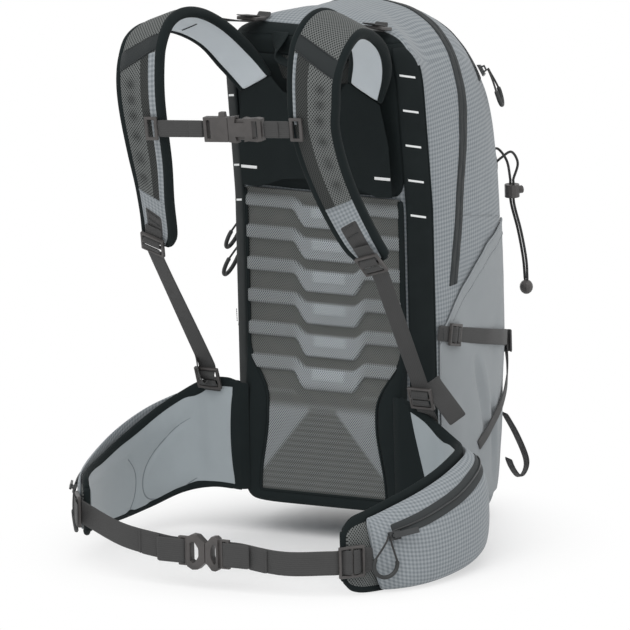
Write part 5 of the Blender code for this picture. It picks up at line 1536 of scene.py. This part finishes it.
HEIGHTS = [k / 22 for k in range(23)]
for side, sign in SIDES:
    rows = pad_rows(sign)
    last = len(rows) - 1

    def grooved_lift(n, share):
        """Depth of the inner face with the moulded lines pressed in."""
        groove = GROOVE_DEPTH * groove_depth(n / WING_STEPS, share)
        return inner_lift(n, last, share, sign) + groove

    rings = []
    for n, row in enumerate(rows):
        ring = [wing_place(sign, row, grooved_lift(n, share), share) for share in HEIGHTS]
        for share in HEIGHTS[::-1]:
            thick = WING_THICKNESS / 2 * (0.35 + 0.60 * pad_edge(share) ** 0.6) * pad_end(n, last)
            ring.append(wing_place(sign, row, thick, share))
        rings.append(ring)

    def paint(n, j):
        if j >= len(HEIGHTS) - 1:
            return 2 if n > 5.6 * WING_STEPS else 1
        return 0 if n > 2 else 1

    bm = loft(rings, paint=paint)
    flat = bm.loops.layers.uv["cloth"]
    for face in bm.faces:
        if face.material_index == 2:
            for loop in face.loops:
                loop[flat].uv = (loop.vert.co.y * 1.2, loop.vert.co.z)
    pad = keep("hip_pad_" + side, bm, [PAD_FACE, BINDING, STRAP_MESH], "bag",
               "hip_wing_" + side, smooth=1)
    for edge, share, inward, width, inset in BINDINGS:
        rings = []
        for n, row in enumerate(rows):
            height = row[3] - row[2]
            middle = share + inward * inset / height
            narrow = 0.55 + 0.45 * min(1.0, n / 5)
            ring = []
            for c, s in flattened(1, 0.8):
                share_here = middle + width * narrow * c / height
                ring.append(wing_place(sign, row, WING_THICKNESS * 0.40 * s, share_here))
            rings.append(ring)
        keep(f"hip_binding_{edge}_{side}", loft(rings), BINDING, "bag", smooth=1)
    tip = [wing_place(sign, rows[-2], 0, 0.04 + 0.92 * k / 12) for k in range(13)]
    round_piece("hip_binding_tip_" + side, tip, 0.0038, BINDING, "bag", sides=10)
    # Each moulded line gets a thin darker cord in its groove, which paints the groove's shade.
    for number, groove in enumerate(GROOVES, 1):
        line = []
        for p in groove:
            n = p.x * WING_STEPS
            line.append(wing_place(sign, row_at(rows, n), grooved_lift(n, p.y) - 0.0001, p.y))
        for _ in range(3):
            eased = [(a + 2 * b + c) / 4 for a, b, c in zip(line, line[1:], line[2:])]
            line = [line[0], *eased, line[-1]]
        round_piece(f"hip_groove_shade_{number}_{side}", line, 0.0009, PAD_GROOVE_SHADE, "bag", sides=6, smooth=0)
    inward_edge = (Vector((BACK_HALF_WIDTH - 0.010, -0.0052)), Vector((0, 1)), *rows[0][2:])
    shares = [0.015 + 0.97 * k / 20 for k in range(21)]
    cover = [[wing_place(sign, inward_edge, 0.0, share) for share in shares]]
    for step in range(9):
        ring = []
        for share in shares:
            n = root_reach(sign, share) * WING_STEPS * step / 8
            lift = min(inner_lift(n, last, share, sign), -0.0030) - 0.0006
            ring.append(wing_place(sign, row_at(rows, n), lift, share))
        cover.append(ring)
    keep("hip_root_" + side, loft(cover, closed=False), BINDING, "bag", thick=0.0012, smooth=1)
print("wings padded, sections", len(rows))

# %% Hip belt webbing
BUCKLE_X, BUCKLE_Z, BELT_DEPTH = 0.005, 0.0385, -0.252
BELT_BAR, BELT_REACH, BELT_NECK = 0.0040, 0.0290, 0.0042
LOCK_ROW = int(-1 - 2 * WING_STEPS / 3)
belt_stand = BELT_NECK / 2 + WEB / 2 + FIT
buckle_centre = Vector((BUCKLE_X, BACK_LINE + BELT_DEPTH, BUCKLE_Z))
for side, sign in SIDES:
    far_body = "hip_buckle" if side == "right" else "bag"
    way_out = wing_stations(sign)[LOCK_ROW][1]
    holder = frame_of(centre_of("hip_lock_" + side), UPRIGHT, (sign * way_out.y, -way_out.x, 0))
    bar_place = buckle_centre + Vector((sign * (BELT_REACH - BELT_BAR / 2), 0, 0))
    around = frame_of(bar_place, UPRIGHT, (sign, 0, 0))
    entry = threaded(holder, -1, sign)[::-1]
    leave = entry[-1]
    reach_in = around @ Vector((0, sign * belt_stand, -0.012))
    bend = fair([leave, (leave + reach_in) / 2 + Vector((0, -0.008, -0.003)), reach_in], 8)
    last = [around @ Vector((0, -sign * belt_stand, -0.006 - 0.005 * k)) for k in range(1, 5)]
    line = entry[:-1] + bend + turn(around, BELT_BAR, belt_stand, 1, -sign) + last
    if side == "right":
        web = ribbon("hip_web_right", line, UPRIGHT, BELT_WEB, None, "belt_web_right")
        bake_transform(web)
    else:
        ribbon("hip_web_left", line, UPRIGHT, BELT_WEB, "bag", "belt_web_left")
    sewn_end = holder @ Vector((0, -sign * STAND_OFF, LOCK_HEIGHT / 2 + 0.012))
    sewn = [sewn_end] + threaded(holder, 1, sign)
    ribbon("hip_band_" + side, sewn, UPRIGHT, BELT_WEB, "bag")
    if side == "left":
        free = [(1.00, 0.0012), (1.25, 0.0045), (1.45, 0.012), (1.55, 0.022), (1.60, 0.034)]
        tail = fair([holder @ Vector((0, sign * STAND_OFF * y, -z)) for y, z in free], 3)
        ribbon("hip_tail_left", tail, UPRIGHT, BELT_WEB - 0.001, "bag")
    fold = [bend[-2 - k] + Vector((0, -0.0015, 0)) for k in range(1, 5)]
    fold = [fold[0] + (fold[0] - fold[-1]) * 0.05, *fold]
    ribbon("hip_fold_" + side, fair(fold, 2), UPRIGHT, BELT_WEB + 0.0004, far_body, thick=0.0016)
    edge = [fold[-1] + Vector((0, -0.0004, 0.0125 - BELT_WEB * k / 6)) for k in range(7)]
    round_piece("hip_fold_edge_" + side, edge, 0.0014, WEBBING, far_body)
print("hip belt webbing made")

# %% [markdown]
# ## Hip buckle
# Its two halves are moulded frames that narrow to a waist where they snap together, so that they
# look like an X from the front. Each is the ring between an outline and its window, bridged and
# then pulled to its thickness, with a thinner ring for the bar that the webbing turns round.

# %% Moulded buckle frames
def moulded_ring(bm, outline, window, thick, centre):
    """A flat ring between an outline and a window, upright and as thick as given."""
    loops = []
    for corners in (outline, window):
        full = corners + [(x, -z) for x, z in corners[::-1]]
        verts = [bm.verts.new(centre + Vector((x, -thick / 2, z))) for x, z in full]
        loops += [bm.edges.new((a, b)) for a, b in zip(verts, verts[1:] + verts[:1])]
    faces = bmesh.ops.bridge_loops(bm, edges=loops)["faces"]
    grown = bmesh.ops.extrude_face_region(bm, geom=faces, use_keep_orig=True)["geom"]
    far_side = [item for item in grown if isinstance(item, bmesh.types.BMVert)]
    bmesh.ops.translate(bm, verts=far_side, vec=(0, thick, 0))


SHELL_THICKNESS, WAIST_X = 0.0100, 0.0030
BUCKLE_HALVES = {
    "hip_buckle_socket": (
        "bag",
        [(-0.0178, -0.0150), (-0.012, -0.0180), (-0.006, -0.0174), (-0.0004, -0.0124),
         (WAIST_X - 0.0002, -0.0098)],
        [(-0.0140, -0.0088), (-0.0112, -0.0112), (-0.0088, -0.0100), (-0.0050, -0.0046),
         (-0.0046, -0.0024)]),
    "hip_buckle_plug": (
        "hip_buckle",
        [(0.0178, -0.0150), (0.0145, -0.0176), (0.0104, -0.0172), (0.0062, -0.0124),
         (WAIST_X + 0.0002, -0.0098)],
        [(0.0152, -0.0086), (0.0140, -0.0108), (0.0126, -0.0100), (0.0100, -0.0050),
         (0.0096, -0.0026)]),
}
for node, (body, outline, window) in BUCKLE_HALVES.items():
    way = 1 if body == "hip_buckle" else -1
    bm = bmesh.new()
    moulded_ring(bm, outline, window, SHELL_THICKNESS, buckle_centre)
    bar = [(way * BELT_REACH, -0.0148), (way * 0.0170, -0.0148)]
    slot = [(way * (BELT_REACH - BELT_BAR), -0.0128), (way * 0.0214, -0.0128)]
    moulded_ring(bm, bar, slot, BELT_NECK, buckle_centre)
    if way > 0:
        for low_z in (-0.0036, 0.0008):
            tongue = bmesh.ops.create_cube(bm, size=1)["verts"]
            bmesh.ops.scale(bm, vec=(0.0062, 0.0036, 0.0028), verts=tongue)
            place = buckle_centre + Vector((0.0012, 0, low_z + 0.0014))
            bmesh.ops.translate(bm, vec=place, verts=tongue)
    bmesh.ops.recalc_face_normals(bm, faces=bm.faces)
    rims = [e for e in bm.edges if len(e.link_faces) == 2 and e.calc_face_angle() > 0.9]
    bmesh.ops.bevel(bm, geom=rims, offset=0.0007, affect="EDGES", segments=2, profile=0.5,
                    material=-1)
    keep(node + "_shell", bm, ACETAL, body, node, sharp=0.6)
print("hip buckle moulded")

# %% [markdown]
# ## Hip pockets
# Each wing carries a zipped pocket of check ripstop. The right one is full and stands off the
# wing, the left one lies nearly flat. A cloth simulation with pressure could blow it up, but the
# sewn edge, the zip and the wing's curve have to meet exactly, so the pocket is a loft of drawn
# sections with soft folds added. Its front end slants back towards the bottom seam.

# %% Pocket sections
POCKET_BULGE = {1: 0.025, -1: 0.0092}
POCKET_FROM, POCKET_TO, POCKET_SLANT, POCKET_FOLD = 2.0, 6.3333, 0.12, 0.0016


def pocket_row(rows, share):
    return row_at(rows, (POCKET_FROM + (POCKET_TO - POCKET_FROM) * share) * WING_STEPS)


def pocket_profile(sign, row, share):
    """Lift and height of the pocket's cloth across a section, from bottom seam to top seam."""
    bulge = POCKET_BULGE[sign] * (1 - (2 * share - 1) ** 4) + 0.002
    base = WING_THICKNESS / 2 + FIT
    top, bottom = row[3] - (0.004 if sign > 0 else 0.001), max(row[2] + 0.003, 0.003)
    span = top - bottom
    line = [(0, bottom), (0.7, bottom), (0.94, bottom + span * 0.12), (1, top - span * 0.60),
            (0.9, top - span * 0.30), (0.45, top - span * 0.07), (0, top)]
    return fair([(base + bulge * swell, z, 0) for swell, z in line], 5)


pockets = {}
for side, sign in SIDES:
    rows = wing_stations(sign)
    rings = []
    for k in range(41):
        share = k / 40
        ring = []
        for m in range(31):
            across = m / 30
            row = pocket_row(rows, share - POCKET_SLANT * (1 - across) * share**3)
            p = pocket_profile(sign, row, share)[m]
            lumps = soft_noise(Vector((share * 0.16, across * 0.11, sign)), 0.028, 2)
            fold = POCKET_FOLD * sin(pi * across) * sin(pi * share) * lumps
            spot = row[0] + row[1] * (p.x + fold)
            ring.append(Vector((sign * spot.x, BACK_LINE + spot.y, max(p.y, 0.0008))))
        rings.append(ring)
    pockets[side] = rings
    keep("hip_pocket_cloth_" + side, loft(rings), CHECK, "bag", "hip_pocket_" + side, smooth=1)
print("pockets", {side: len(rings) for side, rings in pockets.items()})

# %% [markdown]
# The pocket's zip is a dark coated tape that runs along its upper shoulder, so the tape is laid
# on the rows of the cloth just made, between two places along the wing.

# %% Pocket zips
def on_pocket(side, share, across, lift):
    """A place on the pocket's cloth: share along it, across from bottom seam to top seam."""
    rings = pockets[side]
    n, m = share * (len(rings) - 1), across * (len(rings[0]) - 1)
    i, j = min(int(n), len(rings) - 2), min(int(m), len(rings[0]) - 2)
    a, b, c, d = rings[i][j], rings[i][j + 1], rings[i + 1][j], rings[i + 1][j + 1]
    place = a.lerp(b, m - j).lerp(c.lerp(d, m - j), n - i)
    normal = (b - a).cross(c - a).normalized()
    middle = rings[i][0].lerp(rings[i][-1], 0.5)
    return place + (normal if normal.dot(place - middle) > 0 else -normal) * lift


POCKET_ZIP = fair([(0.885, 0.700, 0), (0.70, 0.715, 0), (0.50, 0.735, 0), (0.30, 0.765, 0),
                   (0.14, 0.800, 0)], 9)
TAPE_HALF = 0.052
for side, sign in SIDES:
    tape, coil = [], []
    for p in POCKET_ZIP:
        shares = [p.y + TAPE_HALF * t for t in (-1, -0.6, -0.2, 0.2, 0.6, 1)]
        tape.append([on_pocket(side, p.x, share, 0.0010) for share in shares])
        coil.append(on_pocket(side, p.x, p.y, 0.0018))
    keep("hip_zip_tape_" + side, loft(tape, closed=False), ZIP_TAPE, "bag", thick=0.0010, smooth=1)
    round_piece("hip_zip_coil_" + side, coil, 0.0009, COIL, "bag", sides=6, smooth=0)
print("pocket zips laid")

# %% [markdown]
# ## Side pockets
# The lower sides carry pockets of plain stretch-woven cloth with a slanting rim. The cloth lies
# over the bag, so every point is found by casting a ray at the shell from the side and standing
# off it, more so towards the middle, where a bottle would go. Sharp valleys are pressed in where
# the spare cloth folds.

# %% Rim and creases of a side pocket
shell_tree = BVHTree.FromBMesh(shell)


def on_side(sign, depth, z, lift=0.0):
    """A place on the bag's side, lifted off it, and the way out there."""
    start = Vector((sign * 0.3, BACK_LINE + depth, z))
    hit, normal = shell_tree.ray_cast(start, Vector((-sign, 0, 0)))[:2]
    normal = normal if normal.x * sign > 0 else -normal
    return hit + normal * lift, normal


POCKET_LOW, POCKET_BACK, POCKET_FRONT, RIM_TOP = 0.026, 0.0370, 0.205, 0.2965
RIM = [(POCKET_BACK, 0.2105), (0.050, 0.2210), (0.064, 0.236), (0.083, 0.251), (0.112, 0.269),
       (0.140, 0.284), (0.175, 0.293), (POCKET_FRONT, RIM_TOP)]
# Each crease: from one depth and height to another, then its width and how deep it is.
CREASES = [((0.100, 0.178), (0.126, 0.088), 0.0058, 0.0060),
           ((0.140, 0.130), (0.146, 0.040), 0.0046, 0.0056),
           ((0.072, 0.150), (0.088, 0.070), 0.0110, 0.0010),
           ((0.165, 0.225), (0.128, 0.150), 0.0120, 0.0012)]


POCKET_DEPTHS = [POCKET_BACK + (POCKET_FRONT - POCKET_BACK) * i / 48 for i in range(49)]
STITCH_ROW = 57


def rim_height(depth):
    for (a, low_z), (b, high_z) in zip(RIM, RIM[1:]):
        if depth <= b + 1e-6:
            return low_z + (high_z - low_z) * (depth - a) / (b - a)
    return RIM[-1][1]


def crease(depth, z):
    """How deep the folds of the spare cloth are at a place."""
    deep = 0.0
    for (d0, z0), (d1, z1), wide, size in CREASES:
        share = min(max((z0 - z) / (z0 - z1), 0.0), 1.0)
        off = (depth - d0 - (d1 - d0) * share) / wide
        valley = exp(-off * off) - 0.55 * exp(-((off - 1.5) ** 2))
        deep += size * sin(pi * share) ** 0.6 * valley
    return deep


print("rim from", RIM[0][1], "to", RIM_TOP)

# %% Side pockets
for side, sign in SIDES:
    rings = []
    for i, depth in enumerate(POCKET_DEPTHS):
        top, across = rim_height(depth), sin(pi * i / 48)
        ring = []
        for k in range(61):
            share = k / 60
            z = POCKET_LOW + (top - POCKET_LOW) * share
            full = 0.0015 + 0.0042 * across**0.8 * sin(pi * (0.06 + 0.84 * share))
            rough = 0.0009 * soft_noise(Vector((depth, z, sign)), 0.035, 2) * across
            lift = full + rough - crease(depth, z) * across**0.4
            ring.append(on_side(sign, depth, z, max(0.0012, lift))[0])
        rings.append(ring)
    keep("side_pocket_cloth_" + side, loft(rings, closed=False), PLAIN, "bag",
         "side_pocket_" + side, thick=0.0008, offset=0.0, smooth=1)
    round_piece("side_pocket_hem_" + side, [ring[-1] for ring in rings], 0.0011, PLAIN, "bag")
    line = []
    for ring, depth in zip(rings, POCKET_DEPTHS):
        line.append(ring[STITCH_ROW] + on_side(sign, depth, 0.1)[1] * 0.0006)
    stitches("side_pocket_stitch_" + side, line, "bag", pitch=0.0028, size=0.00022, material=PLAIN)
    heights = [POCKET_LOW + (RIM_TOP - POCKET_LOW) * k / 40 for k in range(41)]
    front_seam = [on_side(sign, POCKET_FRONT + 0.0006, z, 0.0012)[0] for z in heights]
    round_piece("side_pocket_seam_" + side, front_seam, 0.0010, PLAIN, "bag", sides=6, smooth=0)
print("side pockets cut")

# %% [markdown]
# A compression strap crosses each pocket: it is sewn in at the back corner, passes its lock,
# turns round the front edge and comes back down to the seam above the hip belt.

# %% Compression straps
STRAP_HALF, TAIL_HALF, STRAP_Z, STRAP_FALL = 0.0079, 0.0058, 0.2140, 0.232
LOCK_SPAN, FOLD_DEPTH, FOLD_Z = 0.022, 0.2150, 0.1680
STRAP_LEAN, STRAP_SHARES = (0.15, 1.0), (-1, -0.67, -0.33, 0, 0.33, 0.67, 1)
STRAP_BACK, STRAP_FROM, STRAP_TO = (0.034, 0.0375, 0.041), 0.0765, 0.2145
FOLD_HEIGHTS = (-0.0125, -0.0085, -0.004, 0.0, 0.004, 0.0075, 0.0105)
TAIL_LINE = fair([(0.2140, 0.1640, 0), (0.2050, 0.1500, 0), (0.1850, 0.1330, 0),
                  (0.1550, 0.1150, 0), (0.1240, 0.0985, 0), (0.1000, 0.0860, 0)], 5)


def strap_row(sign, depth, z, lift, half=STRAP_HALF, lean=STRAP_LEAN):
    """Points across a strap that lies on the pocket, leaning in depth and height."""
    places = [(depth + lean[0] * half * s, z + lean[1] * half * s) for s in STRAP_SHARES]
    return [on_side(sign, *place, lift)[0] for place in places]


def strap_height(depth):
    return STRAP_Z - (depth - STRAP_BACK[0]) * STRAP_FALL


def through_lock(holder, end, sign):
    """Rows of the strap inside its lock, from the outer bar to the middle."""
    reach = [-STRAP_HALF + 2 * STRAP_HALF * k / 6 for k in range(7)]
    line = threaded(holder, end, sign, LOCK_SPAN)[1:]
    return [[p - holder.col[0].xyz * r for r in reach] for p in line]


def flat_web(name, rows, *replaced):
    """A webbing that lies on the bag, from its rows of points."""
    keep(name, loft(rows, closed=False), WEBBING, "bag", *replaced,
         thick=WEB, offset=0.0, smooth=1)


for side, sign in SIDES:
    holder = frame_of(centre_of("compression_lock_" + side), (0, -0.24, -1), (0, 1, -0.24))
    rear = [strap_row(sign, depth, strap_height(depth), 0.0032) for depth in STRAP_BACK]
    flat_web("compression_root_" + side, rear + through_lock(holder, 1, sign))
    rows = through_lock(holder, -1, sign)[::-1]
    for k in range(28):
        depth = STRAP_FROM + (STRAP_TO - STRAP_FROM) * k / 27
        rise = 0.0042 + 0.0036 * sin(pi * min(1.0, k / 25))
        rows.append(strap_row(sign, depth, strap_height(depth), rise))
    flat_web("compression_web_" + side, rows, "compression_strap_" + side)
    rows, last = [], len(TAIL_LINE) - 1
    for k, p in enumerate(TAIL_LINE):
        ahead = (TAIL_LINE[min(k + 1, last)] - TAIL_LINE[max(k - 1, 0)]).normalized()
        rise = 0.0062 + 0.0016 * sin(pi * k / last)
        rows.append(strap_row(sign, p.x, p.y, rise, TAIL_HALF, (-ahead.y, ahead.x)))
    flat_web("compression_tail_" + side, rows)
    base, out = on_side(sign, FOLD_DEPTH, FOLD_Z, 0.0060)
    loop = []
    for k in range(13):
        angle = -pi / 2 + pi * k / 12
        forth = 0.0062 * cos(angle) ** 0.7 if cos(angle) > 0 else 0.0
        reach = Vector((0, 1, 0)) * forth + out * 0.0040 * sin(angle)
        loop.append([base + reach + Vector((0, 0, z)) for z in FOLD_HEIGHTS])
    flat_web("compression_fold_" + side, loop)
    heights = [0.2133 + 0.0150 * (k / 6 - 0.5) for k in range(7)]
    line = [on_side(sign, STRAP_BACK[1], z, 0.0064)[0] for z in heights]
    stitches("compression_stitch_" + side, line, "bag", pitch=0.0022, length=0.0017)
print("compression straps laid")

# %% [markdown]
# ## Cords
# A zip pull is a loop of thin cord through the slider, with its lower bend in a rubber grip. The
# elastic tie on the front is one doubled cord, made here as its two halves: each leaves the tab,
# arches up, goes down through the cord lock and ends in the moulded ball. A slack cord keeps its
# curve, so it follows a smooth line through a few places.

# %% Pull loops
def pull_loop(name, start, hang, out, body, *replaced, sweep=0.0085, length=PULL_LENGTH):
    """A cord loop hanging from a slider, with a rubber grip round its lower bend."""
    hang, out = Vector(hang).normalized(), Vector(out).normalized()
    across = hang.cross(out).normalized()
    half = [(0.14, 0.20), (0.36, 0.55), (0.62, 0.98), (0.82, 0.92), (0.95, 0.55), (1.0, 0.0)]
    half = [(0.0, 0.0012)] + [(share, wide * sweep) for share, wide in half]
    legs = half + [(share, -wide) for share, wide in half[-2::-1]]
    places = []
    for share, wide in legs:
        down = share * length
        sway = out * 0.0012 * sin(down / length * pi)
        places.append(start + hang * down + across * wide + sway)
    line = fair(places, 5)
    grip_line = [p for p in line if (p - start).dot(hang) > GRIP_FROM * length]
    grip = round_piece(name + "_grip", grip_line, PULL_CORD / 2 + GRIP_WALL, GRIP, body, sides=12)
    loop = round_piece(name + "_cord", line, PULL_CORD / 2, CORD, body, *replaced, sides=10)
    measure(line)
    return measure(line)


def old_start(node):
    """The top of the frame's plain loop, where it hangs from its slider."""
    mesh = frame["nodes"][node].data
    top = max(v.co.z for v in mesh.vertices)
    near = [v.co for v in mesh.vertices if v.co.z > top - 0.004]
    return sum(near, Vector()) / len(near)


lengths = {}
for name in ("upper", "lower"):
    pull = "main_pull_" + name
    lengths[name] = pull_loop(pull, old_start(pull), (-0.50, -0.05, -0.86), (-0.83, 0, 0.55),
                              "main_zip_" + name, pull, sweep=0.0100, length=0.050)
lengths["front"] = pull_loop("front_pull", old_start("front_pull"), (0.30, 0.16, -0.94),
                             (0.8, 0.3, 0.3), "front_zip", "front_pull")
HIP_HANG = {"left": (0.0, 0.05, -0.99), "right": (-0.10, -0.16, -0.97)}
for side, sign in SIDES:
    a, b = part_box("hip_slider_" + side)
    out = Vector((sign * 0.80, -0.55, 0.15)).normalized()
    inner_x = a.x + 0.002 if sign > 0 else b.x - 0.002
    start = Vector((inner_x, a.y + 0.0015, (a.z + b.z) / 2 - 0.001)) + out * 0.002
    lengths["hip_" + side] = pull_loop("hip_pull_" + side, start, HIP_HANG[side], out,
                                       "hip_zip_" + side, sweep=0.0125, length=0.042)
print("pull loops", {key: round(value, 3) for key, value in lengths.items()})

# %% Elastic tie
TAB_DEPTH, TAB_Z, TAB_WIDTH = BODY_DEPTH - 0.017, 0.343, 0.012
tab_start = Vector((0.3, BACK_LINE + TAB_DEPTH, TAB_Z))
tab_hit, tab_out = bag_surface.ray_cast(tab_start, Vector((-1, 0, 0)))[:2]
tab_out = tab_out if tab_out.x > 0 else -tab_out
root = tab_hit + tab_out * FIT
barrel, ball = centre_of("cord_lock"), centre_of("cord_end")
across = Vector((tab_out.y, -tab_out.x, 0)).normalized()
for name, sign, replaced, fitting in (("near", 1, ["bungee_cord"], "cord_lock"),
                                      ("far", -1, [], "cord_end")):
    aside = across * sign
    in_lock = barrel + aside * 0.0025
    places = [
        root + tab_out * 0.0028 + aside * 0.0004 - UPRIGHT * 0.002,
        root + tab_out * 0.0036 + aside * 0.0052 + UPRIGHT * 0.001,
        root + aside * 0.0098 + tab_out * 0.0085 + UPRIGHT * 0.006,
        root + aside * 0.0115 + tab_out * 0.0200 + UPRIGHT * 0.009,
        root + aside * 0.0090 + tab_out * 0.0300 - UPRIGHT * 0.006,
        barrel + aside * 0.0029 + UPRIGHT * 0.013,
        in_lock + UPRIGHT * 0.008,
        in_lock - UPRIGHT * 0.012,
        in_lock + Vector((0.004, 0.006, -0.041)),
        in_lock + Vector((0.006, 0.012, -0.072)),
        ball + aside * 0.0020 + UPRIGHT * 0.0060,
    ]
    line = fair(places, 5)
    half = round_piece("elastic_cord_" + name, line, BUNGEE / 2, CORD, "flap", *replaced, sides=10)
    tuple(line[0])
    measure(line)
    [tuple(p) for p in line]
    print("elastic cord", name, round(measure(line), 3))
TAB_RUN = [(0.024, 0.0010), (0.018, 0.0016), (0.011, 0.0038), (0.004, 0.0056), (-0.003, 0.0062),
           (-0.010, 0.0054), (-0.018, 0.0030), (-0.026, 0.0016)]
spine = fair([root + Vector((0, 0, z)) + tab_out * lift for z, lift in TAB_RUN], 3)
ribbon("elastic_tab", spine, across, TAB_WIDTH, "flap", "bungee_tab")
for name, z in (("high", 0.0205), ("low", -0.0230)):
    seam_middle = root + UPRIGHT * z + tab_out * 0.0022
    line = [seam_middle + across * 0.010 * (k / 6 - 0.5) for k in range(7)]
    stitches("elastic_tab_stitch_" + name, line, "flap", pitch=0.0018, length=0.0014)

# %% [markdown]
# ## Loops
# The tool loop and the grab handle are short pieces of webbing sewn on by their ends. They twist
# a little as they leave the seam, because their ends are sewn on at an angle.

# %% Tool loop and grab handle
LOOP_DEPTH, LOOP_Z, LOOP_WEB = BODY_DEPTH - 0.056, 0.098, 0.017
loop_start = Vector((0.3, BACK_LINE + LOOP_DEPTH, LOOP_Z))
low_hit = bag_surface.ray_cast(loop_start, Vector((-1, 0, 0)))[0]
out = Vector((0.58, 0.81, 0)).normalized()
base = low_hit + out * 0.0062
LOOP_RUN = [(0, 0), (0.014, -0.026), (0.024, -0.054), (0.016, -0.068), (0.005, -0.052),
            (0.001, -0.026)]
line = fair([base + out * reach + UPRIGHT * drop for reach, drop in LOOP_RUN], 5)[:-4]
held_way, twisted_way = Vector((0.81, -0.58, 0)), Vector((0.70, -0.62, 0.30))
turns = [sin(pi * k / (len(line) - 1)) for k in range(len(line))]
ways = [held_way.lerp(twisted_way, share) for share in turns]
ribbon("tool_loop_web", line, ways, LOOP_WEB, "bag", "tool_loop", thick=0.0015)

HANDLE_Z = TOP_Z - 0.018
# Each station of half the handle: its place, then half the webbing's width as a direction.
half_loop = [
    ((0.038, 0.0018, 0.0), (0.010, 0.0, 0.0)), ((0.038, 0.0060, -0.010), (0.0085, -0.005, 0.0)),
    ((0.036, 0.0135, -0.018), (0.004, -0.009, 0.0)),
    ((0.029, 0.0165, -0.025), (0.001, -0.010, 0.0)),
    ((0.014, 0.0180, -0.029), (0.0, -0.010, 0.0)), ((0.0, 0.0185, -0.030), (0.0, -0.010, 0.0)),
]
whole = [((-x, lift, z), (-a, b, c)) for (x, lift, z), (a, b, c) in half_loop] + half_loop[-2::-1]
places = [(x, back_corner(HANDLE_Z + z)[0].y - lift, HANDLE_Z + z) for (x, lift, z), half in whole]
centres = fair([at(*place) for place in places], 4)
halves = fair([(a if x > 0 else -a, b, c) for (x, lift, z), (a, b, c) in whole], 4)
rings = [[p + half * (k / 3 - 1) for k in range(7)] for p, half in zip(centres, halves)]
keep("grab_handle_web", loft(rings, closed=False), BOARD, "handle", "grab_handle",
     thick=0.0022, offset=0.0, smooth=1)
print("loops sewn")
